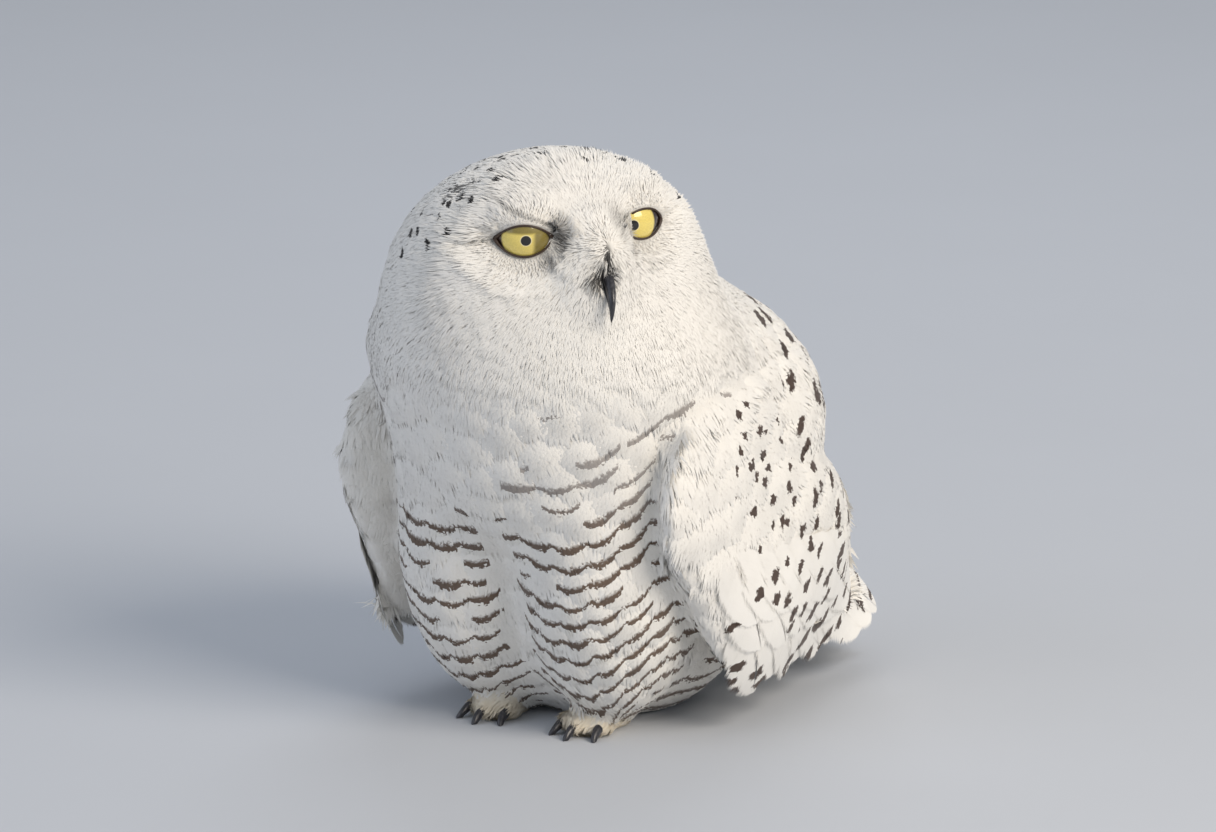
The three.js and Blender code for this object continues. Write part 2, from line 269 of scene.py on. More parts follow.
@dataclass(frozen=True)
class Anatomy:
    """Places on the bird, worked out from the frame."""

    pivot: tuple[float, float, float] = (3.0, 10.0, 318.0)  # the head turns about it
    eye_forward: float = 50.5
    eye_up: float = 44.0
    splay: tuple[float, float] = (12.0, -23.5)  # each eye's opening, left and right
    gaze: tuple[float, float] = (-12.0, -21.0)  # both eyes glance to its right
    glance: tuple[float, float] = (0.0, -7.5)  # and the right one a little down
    openings: tuple[tuple[float, float], ...] = ((36.0, 20.5), (39.6, 22.5))
    drop: tuple[float, float] = (0.0, -3.9)  # each opening's middle below the ball's
    veil: tuple[float, float] = (-9.7, -99.0)  # the bridge covers the opening beyond this

    def own(self, pair: tuple, word: str) -> float | tuple[float, float]:
        """Returns the value of a left and right pair for one eye."""
        return pair[word == "right"]

    @cached_property
    def eye_boxes(self) -> dict[str, Array]:
        """Returns the corners of each eyeball's box, in millimetres."""
        return {word: np.array(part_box(f"eye_{word}")) / MM for word in SIDES}

    def eye_centre(self, word: str) -> Array:
        """Returns the centre of an eyeball in the frame's axes, in millimetres."""
        return self.eye_boxes[word].mean(0)

    @cached_property
    def eye_radius(self) -> float:
        """Returns the eyeball's radius."""
        low, high = self.eye_boxes["left"]
        return (high[2] - low[2]) / 2

    @cached_property
    def head_axes(self) -> Array:
        """Returns the head's own X, Y and Z as rows. Its face looks along -Y."""
        across = unit(self.eye_centre("left") - self.eye_centre("right"))
        up = np.array([0.0, 0.0, 1.0])
        return np.array([across, np.cross(up, across), up])

    @cached_property
    def origin(self) -> Array:
        """Returns where the bird's own frame starts, in the frame's axes."""
        between = (self.eye_centre("left") + self.eye_centre("right")) / 2
        _, back, up = self.head_axes
        return between + back * self.eye_forward - up * self.eye_up - np.array(self.pivot)

    def to_bird(self, metres: Array) -> Array:
        """Returns points of a mesh in the bird's frame."""
        return metres / MM - self.origin

    def to_mesh(self, p: Array) -> Array:
        """Returns points of the bird's frame as metres for a mesh."""
        return (p + self.origin) * MM

    def to_head(self, p: Array) -> Array:
        """Returns points of the bird's frame in the head's own frame."""
        return (p - np.array(self.pivot)) @ self.head_axes.T

    def from_head(self, v: Array) -> Array:
        """Returns directions of the head's frame in the bird's."""
        return v @ self.head_axes

    def turned(self, degrees: float) -> Array:
        """Returns the head's axes turned about Z towards its left, as rows."""
        turn = math.radians(degrees)
        spin = np.array([[math.cos(turn), math.sin(turn), 0.0],
                         [-math.sin(turn), math.cos(turn), 0.0],
                         [0.0, 0.0, 1.0]])
        return spin @ self.head_axes

    def eye_axes(self, word: str) -> Array:
        """Returns an eye opening's own X, Y and Z as rows. It faces along -Y."""
        return self.turned(self.own(self.splay, word))

    def gaze_axes(self, word: str) -> Array:
        """Returns the axes of an eye's iris as rows. It looks along -Y."""
        across, back, up = self.turned(self.own(self.gaze, word))
        dip = math.radians(self.own(self.glance, word))
        return np.array([across, back * math.cos(dip) - up * math.sin(dip),
                         up * math.cos(dip) + back * math.sin(dip)])

    def in_eye(self, p: Array, word: str) -> Array:
        """Returns points of the bird's frame in an eye's own frame."""
        centre = self.eye_centre(word) - self.origin
        return (p - centre) @ self.eye_axes(word).T

    def gap(self, p: Array, word: str) -> Array:
        """Tells how far points of the bird's frame are outside an eye's opening."""
        q = self.in_eye(p, word)
        q[:, 2] -= self.own(self.drop, word)
        almond = self.almond(q, self.own(self.openings, word))
        return np.maximum(almond, self.own(self.veil, word) - q[:, 0])

    def from_eye(self, q: Array, word: str) -> Array:
        """Returns points of an eye's own frame in the bird's frame."""
        return q @ self.eye_axes(word) + self.eye_centre(word) - self.origin

    def almond(self, q: Array, opening: tuple[float, float]) -> Array:
        """Tells how far points are outside the opening between the lids.

        Args:
            q: Points in an eye's own frame.
            opening: The opening's width and height.

        Returns:
            Millimetres across the face, negative inside the opening.
        """
        half, rise = opening[0] / 2, opening[1] / 2
        bow = (half * half + rise * rise) / (2 * rise)
        x, z = q[:, 0], np.abs(q[:, 2])
        arc = np.hypot(x, z + bow - rise) - bow
        corner = np.hypot(np.abs(x) - half, z)
        return np.where(np.abs(x) > half, corner, arc)


BIRD = Anatomy()


def bird_points(obj: bpy.types.Object) -> Array:
    """Returns the object's vertices in the bird's frame."""
    return BIRD.to_bird(points(obj))


def place(obj: bpy.types.Object, p: Array) -> None:
    """Writes the object's vertices, given in the bird's frame."""
    set_points(obj, BIRD.to_mesh(p))


# ------------------------------------------------------------------ finishes

def rgba(hex_colour: str) -> tuple[float, float, float, float]:
    """Returns a hex colour as a socket's four linear values."""
    return (*linear(hex_colour), 1.0)


def dress(obj: bpy.types.Object, material: bpy.types.Material) -> None:
    """Gives the object this material alone."""
    obj.data.materials.clear()
    obj.data.materials.append(material)


class Graph:
    """A material's nodes. Its methods take values or sockets, and return sockets."""

    def __init__(self, name: str) -> None:
        """Starts a material with one principled shader.

        Args:
            name: The material's name.
        """
        self.material = bpy.data.materials.new(name)
        self.material.use_nodes = True
        self.tree = self.material.node_tree
        self.shader = self.tree.nodes["Principled BSDF"]

    def add(self, kind: str, inputs: dict | None = None,
            **settings: object) -> bpy.types.NodeOutputs:
        """Adds one node with its settings and links.

        Args:
            kind: The node's type, after ShaderNode.
            inputs: A value, or a socket to link, for each input by name or number.
            settings: The node's own properties.

        Returns:
            The node's outputs.
        """
        made = self.tree.nodes.new(f"ShaderNode{kind}")
        for key, value in settings.items():
            setattr(made, key, value)
        self.fill(made, inputs or {})
        return made.outputs

    def fill(self, made: bpy.types.Node, inputs: dict) -> None:
        """Sets or links a node's inputs."""
        for key, value in inputs.items():
            if isinstance(value, bpy.types.NodeSocket):
                self.tree.links.new(value, made.inputs[key])
            else:
                made.inputs[key].default_value = value

    def math(self, operation: str, a: Socket, b: Socket = 0.0, clamp: bool = False) -> Socket:
        """Adds a sum of one or two values."""
        return self.add("Math", {0: a, 1: b}, operation=operation, use_clamp=clamp)[0]

    def remap(self, value: Socket, low: Socket = 0.0, high: Socket = 1.0, start: float = 0.0,
              end: float = 1.0, ease: str = "LINEAR") -> Socket:
        """Turns the range from low to high into the one from start to end."""
        return self.add("MapRange", {0: value, 1: low, 2: high, 3: start, 4: end},
                        interpolation_type=ease)[0]

    def mix(self, share: Socket, a: Socket, b: Socket, blend: str = "MIX") -> Socket:
        """Mixes two colours."""
        return self.add("Mix", {0: share, 6: a, 7: b}, data_type="RGBA", blend_type=blend)[2]

    def noise(self, size: float, detail: float, stretch: float = 1.0) -> Socket:
        """Adds noise over the object, in swells of a size in millimetres, longer upwards."""
        at = self.add("TexCoord")["Object"]
        if stretch != 1.0:
            at = self.add("Mapping", {"Vector": at, "Scale": (1.0, 1.0, 1 / stretch)})[0]
        return self.add("TexNoise", {"Vector": at, "Scale": 1 / (size * MM),
                                     "Detail": detail})["Fac"]

    def bump(self, height: Socket, strength: float, distance: float) -> Socket:
        """Adds relief with a depth in millimetres."""
        return self.add("Bump", {"Height": height, "Strength": strength,
                                 "Distance": distance * MM})[0]

    def finish(self, inputs: dict) -> bpy.types.Material:
        """Fills the shader's inputs and returns the material."""
        self.fill(self.shader, inputs)
        return self.material


@dataclass(frozen=True)
class Plumage:
    """Contour feathers: dull white keratin, matt, barbs that catch a soft sheen, painted shade at
    the roots.
    """

    tip: str = "#f6f4ef"
    # the root colour is painted shade, darker where the tufts overlap
    root: str = "#ece8e0"
    roughness: float = 0.82
    barb: float = 1.1  # real barbs lie 0.3 apart; drawn coarser so that they show

    def material(self) -> bpy.types.Material:
        """Builds the material, which reads its markings from the mesh."""
        g = Graph("white_feather_keratin")
        lay, marks, ink = (g.add("Attribute", attribute_name=name)
                           for name in ("lay", "marks", "ink"))
        column, row, along = g.add("SeparateXYZ", {0: lay["Vector"]})
        bars, spots, smudge = g.add("SeparateColor", {0: marks["Color"]})
        dark = g.math("MAXIMUM", self.bars(g, column, row, bars),
                      self.spots(g, lay["Vector"], spots))
        mask = g.math("MAXIMUM", dark, smudge, clamp=True)
        # painted shade: each tuft darkens from its tip towards its root
        body = g.mix(along, rgba(self.root), rgba(self.tip))
        cloud = g.remap(g.noise(22, 2.0), 0.3, 0.7, 0.94, 1.0)
        white = g.mix(1.0, body, cloud, "MULTIPLY")
        return g.finish({"Base Color": g.mix(mask, white, ink["Color"]),
                         "Normal": g.bump(g.noise(self.barb, 1.0), 0.25, 0.3),
                         "Roughness": self.roughness, "Specular IOR Level": 0.25,
                         "Sheen Weight": 0.15, "Sheen Roughness": 0.6})

    def bars(self, g: Graph, column: Socket, row: Socket, share: Socket) -> Socket:
        """Draws one bowed bar in each cell that holds one.

        Args:
            g: The material's nodes.
            column: Columns, whose whole part names a cell.
            row: Rows, in the same way.
            share: The share of cells that hold a bar.

        Returns:
            The mask, 0 on white plumage and 1 on a bar.
        """
        cell = g.add("CombineXYZ", {0: g.math("FLOOR", column), 1: g.math("FLOOR", row)})[0]
        chance = g.add("TexWhiteNoise", {"Vector": cell}, noise_dimensions="2D")
        there = g.math("LESS_THAN", chance["Value"], share)
        off = g.math("SUBTRACT", g.math("FRACT", column), 0.5)
        bow = g.remap(g.math("MULTIPLY", off, off), 0.0, 0.25, 0.5, 0.24)
        fuller = g.add("SeparateColor", {0: chance["Color"]})[1]
        thick = g.math("MULTIPLY", bow, g.remap(fuller, start=0.6, end=1.1))
        bar = g.remap(g.math("FRACT", row), thick, g.math("MULTIPLY", thick, 0.6))
        return g.math("MULTIPLY", bar, there)

    def spots(self, g: Graph, lay: Socket, share: Socket) -> Socket:
        """Draws one ragged spot in each cell that holds one.

        Args:
            g: The material's nodes.
            lay: Columns and rows.
            share: The share of cells that hold a spot.

        Returns:
            The mask, 0 on white plumage and 1 on a spot.
        """
        rough = g.add("TexNoise", {"Vector": lay, "Scale": 3.0, "Detail": 2.0},
                      noise_dimensions="2D")["Color"]
        ragged = g.add("VectorMath", {0: rough, 1: (-0.5, -0.5, 0.0)}, operation="ADD")[0]
        pushed = g.add("VectorMath", {0: ragged, 1: (0.45, 0.45, 0.0), 2: lay},
                       operation="MULTIPLY_ADD")[0]
        cells = g.add("TexVoronoi", {"Vector": pushed, "Scale": 1.0, "Randomness": 0.9},
                      voronoi_dimensions="2D")
        luck = g.add("SeparateColor", {0: cells["Color"]})
        reach = g.remap(luck[1], start=0.19, end=0.34)
        spot = g.remap(cells["Distance"], reach, g.math("MULTIPLY", reach, 0.8))
        return g.math("MULTIPLY", spot, g.math("LESS_THAN", luck[0], share))


@dataclass(frozen=True)
class Eyeball:
    """A wet eye: a clear glossy cornea over a yellow iris, a round pupil, a dark rim and a
    painted brow shadow.
    """

    iris: str = "#f0da76"
    # colour of the painted shadow of the brow on the iris
    shade: str = "#6b5f2c"
    ring: str = "#ede0ae"
    pupil: str = "#0c0a09"
    rim: str = "#2a1a14"
    iris_share: float = 16.4 / 22  # of the ball's radius
    pupil_share: float = 3.4 / 22
    cast: float = 0.85  # how deep the painted shadow of the brow lies on the iris

    def material(self) -> bpy.types.Material:
        """Builds the material, which reads the ball's own map, centred on the gaze."""
        g = Graph("wet_cornea_over_iris")
        centred = g.add("VectorMath", {0: g.add("UVMap", uv_map="gaze")[0],
                                       1: (0.5, 0.5, 0.0)}, operation="SUBTRACT")[0]
        far = g.add("VectorMath", {0: centred}, operation="LENGTH")["Value"]
        radius = g.math("MULTIPLY", far, 2.0)
        x, y, _ = g.add("SeparateXYZ", {0: centred})
        spokes = g.add("CombineXYZ", {0: g.math("ARCTAN2", y, x), 1: radius})[0]
        fibre = g.add("TexNoise", {"Vector": spokes, "Scale": 14.0, "Detail": 3.0})["Fac"]
        # painted shadow of the brow over the top and the inner side of the iris
        painted_brow_shadow = g.math("MAXIMUM", g.remap(y, 0.07, 0.13, 0.0, self.cast, "SMOOTHSTEP"),
                      g.remap(x, 0.08, 0.17, 0.0, self.cast, "SMOOTHSTEP"))
        yellow = g.mix(painted_brow_shadow, rgba(self.iris), rgba(self.shade))
        threads = g.mix(1.0, yellow, g.remap(fibre, 0.35, 0.7, 1.0, 0.84), "MULTIPLY")
        iris = g.remap(radius, self.pupil_share + 0.022, self.pupil_share + 0.04)
        inside = g.mix(iris, self.bands(g, radius), threads)
        edge = g.remap(radius, self.iris_share - 0.06, self.iris_share + 0.01, 1.0, 0.0,
                       "SMOOTHSTEP")
        return g.finish({"Base Color": g.mix(edge, rgba(self.rim), inside), "Roughness": 0.35,
                         "IOR": 1.38, "Coat Weight": 1.0, "Coat Roughness": 0.03})

    def bands(self, g: Graph, radius: Socket) -> Socket:
        """Draws the pupil and the pale ring round it."""
        made = g.tree.nodes.new("ShaderNodeValToRGB")
        g.fill(made, {0: radius})
        ramp = made.color_ramp
        ramp.elements[0].position, ramp.elements[0].color = 0.0, rgba(self.pupil)
        ramp.elements[1].position, ramp.elements[1].color = 1.0, rgba(self.rim)
        for position, colour in ((self.pupil_share, self.pupil),
                                 (self.pupil_share + 0.012, self.ring),
                                 (self.pupil_share + 0.03, self.ring)):
            ramp.elements.new(position).color = rgba(colour)
        return made.outputs["Color"]


@dataclass(frozen=True)
class Horn:
    """Bill and claw horn: near-black keratin, smooth, with faint lines of growth."""

    colour: str = "#25252a"
    worn: str = "#4b4a4e"
    growth: float = 1.6  # from one line to the next

    def material(self) -> bpy.types.Material:
        """Builds the material on object coordinates."""
        g = Graph("black_bill_keratin")
        streak = g.noise(self.growth, 3.0, stretch=4.0)
        tone = g.mix(g.remap(streak, 0.45, 0.8), rgba(self.colour), rgba(self.worn))
        return g.finish({"Base Color": tone, "Normal": g.bump(streak, 0.15, 0.2),
                         "Roughness": g.remap(streak, 0.3, 0.7, 0.28, 0.42),
                         "Coat Weight": 0.3, "Coat Roughness": 0.2})


@dataclass(frozen=True)
class BareSkin:
    """The bare edge of the lids: dark, damp skin with fine creases."""

    colour: str = "#241813"
    pale: str = "#493629"
    crease: float = 0.9

    def material(self) -> bpy.types.Material:
        """Builds the material on object coordinates."""
        g = Graph("dark_lid_skin")
        crease = g.noise(self.crease, 3.0)
        return g.finish({"Base Color": g.mix(crease, rgba(self.colour), rgba(self.pale)),
                         "Normal": g.bump(crease, 0.4, 0.2), "Roughness": 0.45})


@dataclass(frozen=True)
class Board:
    """The studio floor: a matt pale painted board."""

    colour: str = "#c3c7cd"

    def material(self) -> bpy.types.Material:
        """Builds the material, with a faint mottle."""
        g = Graph("matt_painted_board")
        mottle = g.remap(g.noise(180, 3.0), start=0.97)
        return g.finish({"Base Color": g.mix(1.0, rgba(self.colour), mottle, "MULTIPLY"),
                         "Roughness": 0.9})


# ------------------------------------------------------------------ zones, lie and markings

class Zone(IntEnum):
    """Stretches of the coat that differ in length, lie and markings."""

    FACE = 0
    CROWN = 1
    FRONT = 2
    BACK = 3
    WING = 4
    FOOT = 5


def angle_from_face(h: Array) -> Array:
    """Returns degrees between points of the head's frame and the way it faces."""
    v = unit(h - np.array([0.0, 1.0, 2.0]))
    return np.degrees(np.arccos(np.clip(-v[:, 1], -1, 1)))


@dataclass(frozen=True)
class Lie:
    """Which way the feathers lie."""

    source: tuple[float, float, float] = (1.5, -82.0, 31.0)  # head frame, above the bill
    eye_reach: float = 10.0
    shoulder: tuple[float, float] = (-30.0, 285.0)  # back and up

    def face(self, p: Array, n: Array) -> Array:
        """Feathers spread from above the bill, and outwards round each eye."""
        h = BIRD.to_head(p)
        v = BIRD.from_head(unit(h - np.array(self.source)))
        v[:, 2] -= 0.45 * smooth(25, -35, h[:, 2])
        for word in SIDES:
            q = BIRD.in_eye(p, word)
            gap = BIRD.gap(p, word)
            near = np.exp(-(np.maximum(gap - 3, 0) / self.eye_reach) ** 2)[:, None]
            away = unit(q * np.array([1.0, 0.0, 1.5])) @ BIRD.eye_axes(word)
            if word == "left":  # the bridge's feathers arch over this eye's inner corner
                near = near * (1 - smooth(-9, -14, q[:, 0]))[:, None]
            v = v * (1 - near) + away * near * 1.1
        return flat_on(v, n)

    def crown(self, p: Array, n: Array) -> Array:
        """Feathers run back from the forehead and down the nape."""
        h = BIRD.to_head(p)
        v = unit(h - np.array(self.source))
        v[:, 1] += 0.5
        v[:, 2] -= 0.2 + 1.1 * smooth(0, 80, h[:, 1]) + 0.7 * smooth(10, -50, h[:, 2])
        return flat_on(BIRD.from_head(v), n)

    def body(self, p: Array, n: Array) -> Array:
        """Feathers hang down the breast and run back along the flanks and back."""
        back = 0.12 + 0.8 * smooth(-10, 150, p[:, 1]) + 0.9 * smooth(-0.3, -0.9, n[:, 2])
        v = np.stack([0.12 * np.sign(p[:, 0]) * smooth(0, 60, np.abs(p[:, 0])), back,
                      -np.ones(len(p))], axis=1)
        return flat_on(v, n)

    def wing(self, p: Array, n: Array) -> Array:
        """Feathers spread down and back along the folded wing from its shoulder."""
        v = p - np.array([0.0, *self.shoulder])
        v[:, 0] = np.sign(p[:, 0]) * 90 * smooth(0.2, 0.8, n[:, 2])
        v[:, 1] -= 60 * smooth(0.2, 0.8, n[:, 2]) * (p[:, 1] < 40)
        return flat_on(v, n)

    def foot(self, p: Array, n: Array) -> Array:
        """Feathers lie forwards along the toes."""
        return flat_on(np.tile([0.0, -1.0, -0.25], (len(p), 1)), n)

    def at(self, p: Array, n: Array, weights: Array) -> Array:
        """Finds the lie at points of the skin.

        Args:
            p: Points, in the bird's frame.
            n: The skin's normals there.
            weights: How much of each zone there is at each point.

        Returns:
            Directions along the skin.
        """
        ways = {Zone.FACE: self.face, Zone.CROWN: self.crown, Zone.FRONT: self.body,
                Zone.BACK: self.body, Zone.WING: self.wing, Zone.FOOT: self.foot}
        out = np.zeros_like(p)
        for one, way in ways.items():
            share = weights[:, one]
            here = share > 0.01
            out[here] += way(p[here], n[here]) * share[here, None]
        return flat_on(out, n)


@dataclass(frozen=True)
class Markings:
    """Dark bars, spots and smudges on the white coat."""

    row: float = 14.0  # from one belly bar to the next
    scallop: float = 26.0
    sag: float = 4.8
    brown: str = "#6a5a4e"
    grey: str = "#a29c97"
    wing_brown: str = "#4b3c34"
    black: str = "#262424"
    buff: str = "#dccba6"  # a tint on the feet

    def bars(self, p: Array) -> tuple[Array, Array, Array]:
        """Rows of scallops across each leg and up the flanks.

        Args:
            p: Points, in the bird's frame.

        Returns:
            Columns, rows and the share of scallops that show.
        """
        side = np.abs(p[:, 0])
        around = np.arctan2(side - 51, 30 - p[:, 1])
        column = (76 * around + 5 * waves(p, 70, 11)) / self.scallop
        column += np.where(p[:, 0] > 0, 40.0, 10.0)
        swing = (column - np.floor(column) - 0.5) * 2
        bowl = np.where(around > 0, 25, 12) * (around / 0.8) ** 2
        bowl = 44 * np.tanh(bowl / 44)
        height = p[:, 2] - bowl - self.sag * swing ** 2 + 2.2 * waves(p, 60, 12)
        z = p[:, 2]
        low = smooth(172, 142, z) * (0.72 + 0.28 * smooth(2, 25, z))
        left = smooth(-10, 30, p[:, 0])
        flank = smooth(0.25, 0.75, around) * smooth(300, 230, z) * 0.62
        chest = 0.36 * left * smooth(275, 240, z) * smooth(-0.3, 0.1, around)
        share = np.maximum.reduce([low * 0.9, flank, chest])
        groove = smooth(5, 17, side) + (1 - smooth(40, 70, z)) * 0.4
        return column, height / self.row, share * np.clip(groove, 0, 1)

    def spots(self, p: Array, weights: Array) -> tuple[Array, Array, Array]:
        """Spots on the crown, dashes on the mantle and blotches on the wings.

        Args:
            p: Points, in the bird's frame.
            weights: How much of each zone there is at each point.

        Returns:
            Columns, rows and the share of cells that hold a spot.
        """
        h = BIRD.to_head(p)
        crown_c = 90 * np.arctan2(h[:, 0], h[:, 2] + 30) / 10
        crown_s = (h[:, 1] - 0.6 * h[:, 2]) / 9
        crown = smooth(62, 72, angle_from_face(h)) * smooth(15, 45, h[:, 2])
        out = 0.55 * (p[:, 1] - 40) + 0.8 * (p[:, 2] - 90)
        back_c = 125 * np.arctan2(p[:, 0], np.maximum(out, 20)) / 15
        back_s = (0.8 * p[:, 1] - 0.55 * p[:, 2]) / 15
        back = smooth(40, 150, p[:, 2])
        fan = p[:, 1:] - np.array(LIE.shoulder)
        wing_c = 200 * np.arctan2(fan[:, 0], -fan[:, 1]) / 21
        wing_s = np.hypot(*fan.T) / 15
        bare = blob(np.abs(p), (112, 92, 236), (52, 48, 42))
        edge = 20 + 0.16 * (p[:, 2] - 30)
        wing = smooth(edge - 12, edge + 12, p[:, 1] + 4 * waves(p, 50, 21))
        wing *= 0.5 + 0.4 * smooth(50, 140, p[:, 1])
        column, row, share = np.zeros((3, len(p)))
        zone = weights.argmax(1)
        for one, c, s, amount in ((Zone.CROWN, crown_c, crown_s, crown * 0.62),
                                  (Zone.BACK, back_c, back_s, back * 0.8),
                                  (Zone.WING, wing_c, wing_s, wing)):
            here = zone == one
            column[here], row[here] = c[here] + 60, s[here] + 60
            held = smooth(0.35, 0.65, weights[:, one]) * (1 - smooth(0.1, 0.5, bare))
            share[here] = (amount * held)[here]
        return column, row, share

    def smudge(self, p: Array, luck: Array) -> Array:
        """Dark corners beside the bill, a brow line of dark tips and painted shadow, and dark
        bristles round the bill.

        Args:
            p: Points, in the bird's frame.
            luck: A chance value for each tuft, 0 to 1.

        Returns:
            How dark each point is, 0 to 1.
        """
        h = BIRD.to_head(p)
        total = np.zeros(len(p))
        for word, inward, strength in (("right", 1.0, 1.0), ("left", -1.0, 0.7)):
            q = BIRD.in_eye(p, word)
            x, z = q[:, 0] * inward, q[:, 2] - BIRD.own(BIRD.drop, word)
            q = np.stack([x, q[:, 1], z], axis=1)
            corner = blob(q, (24, -16, 2), (12, 40, 21))
            below = blob(q, (16, -14, -14), (11, 40, 12)) * 0.8
            outer = blob(q, (-21, -14, -1), (5, 26, 7)) * 0.5
            # the line over the right eye: dark feather tips along the brow's crease, partly
            # painted shadow of the brow
            line = np.exp(-((z - 17.4 + 0.39 * x - 0.2 * np.maximum(-8 - x, 0)) / 1.5) ** 2)
            line *= smooth(-28, -16, x) * smooth(26, 18, x) * (0.6 + 0.25 * smooth(0, 16, x))
            line *= inward > 0
            lash = np.exp(-((BIRD.gap(p, word) - 1.0) / 1.6) ** 2) * 0.55
            total = np.maximum(total, strength * np.maximum.reduce(
                [corner, below, outer, line, lash]) * (q[:, 1] < 0))
        bridge = np.minimum(blob(h, (2, -88, 26), (7, 60, 21)) * 1.4, 1)
        beside = blob(h, (-6, -90, 16), (19, 60, 17)) * 1.1
        other = blob(h, (6, -90, 18), (10, 60, 14)) * 0.8
        hairs = np.maximum.reduce([bridge, beside, other])
        hairs *= 0.15 + 1.2 * (luck < 0.75 * hairs)
        fine = np.where(luck == 0, 0.6, 0.45 + 0.9 * luck)  # the skin has no luck
        return np.clip(np.maximum(total * fine, hairs), 0, 0.94)

    def paint(self, p: Array, weights: Array, along: Array, jitter: Array) -> dict[str, Array]:
        """Works out what the feather material reads.

        Args:
            p: Points, in the bird's frame.
            weights: How much of each zone there is at each point.
            along: Place along the tuft, 0 at its root.
            jitter: How far each point's tuft is out of step, in millimetres.

        Returns:
            The attributes lay, marks and ink.
        """
        zone = weights.argmax(1)
        column, row, bars = self.bars(p)
        bars = bars * smooth(0.4, 0.8, weights[:, Zone.FRONT])
        row = row + jitter / self.row
        front = zone == Zone.FRONT
        spot_column, spot_row, spots = self.spots(p, weights)
        column = np.where(front, column, spot_column)
        row = np.where(front, row, spot_row + jitter / 17)
        face = zone == Zone.FACE
        luck = np.mod(jitter * 37, 1)
        streaks = blob(BIRD.to_head(p), (-70, -14, 66), (16, 20, 12))
        streaks = 0.9 * (luck < 0.8 * streaks) * (zone == Zone.CROWN)
        tint = 0.55 * weights[:, Zone.FOOT] * (zone == Zone.FOOT)
        smudge = np.where(face, self.smudge(p, luck), streaks + tint)
        marks = np.stack([np.where(front, bars, 0), np.where(front, 0, spots), smudge,
                          np.ones(len(p))], axis=1)
        pale = smooth(150, 200, p[:, 2])[:, None]
        ink = linear(self.brown) * (1 - pale) + linear(self.grey) * pale
        for one, colour in ((Zone.WING, self.wing_brown), (Zone.BACK, self.wing_brown),
                            (Zone.CROWN, self.black), (Zone.FACE, self.black),
                            (Zone.FOOT, self.buff)):
            ink[zone == one] = linear(colour)
        lay = np.stack([column, row, along], axis=1)
        return {"lay": lay, "marks": marks, "ink": np.c_[ink, np.ones(len(p))]}


LIE = Lie()
MARKINGS = Markings()


def write_attributes(mesh: bpy.types.Mesh, values: dict[str, Array]) -> None:
    """Writes point attributes of three or four numbers on a mesh."""
    for name, rows in values.items():
        kind, key = ("FLOAT_COLOR", "color") if rows.shape[1] == 4 else ("FLOAT_VECTOR", "vector")
        layer = mesh.attributes.new(name, kind, "POINT")
        layer.data.foreach_set(key, rows.astype(np.float32).ravel())


@dataclass(frozen=True)
class WingLine:
    """Where a wing's flight feathers start and end, from the leading one to the last."""

    side: float
    first: tuple[tuple[float, float], tuple[float, float]]  # back and up
    last: tuple[tuple[float, float], tuple[float, float]] = ((190, 86), (278, 33))
    hem: float = 0.62  # the flesh ends here, as a share of the feathers' length
    rear: float = 256.0

    def at(self, t: float) -> tuple[Array, Array]:
        """Returns the root and the way of the feather at a share of the row."""
        (r0, t0), (r1, t1) = (tuple(np.array(x, float) for x in pair)
                              for pair in (self.first, self.last))
        return r0 + (r1 - r0) * t, (t0 - r0) * (1 - t) + (t1 - r1) * t

    def down(self, p: Array) -> tuple[Array, Array]:
        """Tells how far points are along the row, and down the feathers to their tips."""
        yz = p[:, 1:]
        first = np.array(self.first[0], float)
        row = np.array(self.last[0], float) - first
        t = np.full((len(p), 1), 0.5)
        for _ in range(8):
            root, way = self.at(t)
            b = ((yz - root) * way).sum(1, keepdims=True) / (way ** 2).sum(1, keepdims=True)
            t = ((yz - b * way - first) @ row)[:, None] / (row @ row)
            t = np.clip(t, -0.3, 1.3)
        return t, b[:, 0]

    def blunt(self, p: Array) -> Array:
        """Draws the thin ends of the wing back to where its flesh ends."""
        t, b = self.down(p)
        over = (np.maximum(b - self.hem, 0) * (p[:, 2] < 95))[:, None]
        p[:, 1:] -= over * self.at(t)[1]
        p[:, 1] = np.minimum(p[:, 1], self.rear)
        return p


WING_LINES = {
    "left": WingLine(1.0, ((50, 100), (86, 26))),
    "right": WingLine(-1.0, ((12, 100), (26, 36))),
}


# ------------------------------------------------------------------ the skin

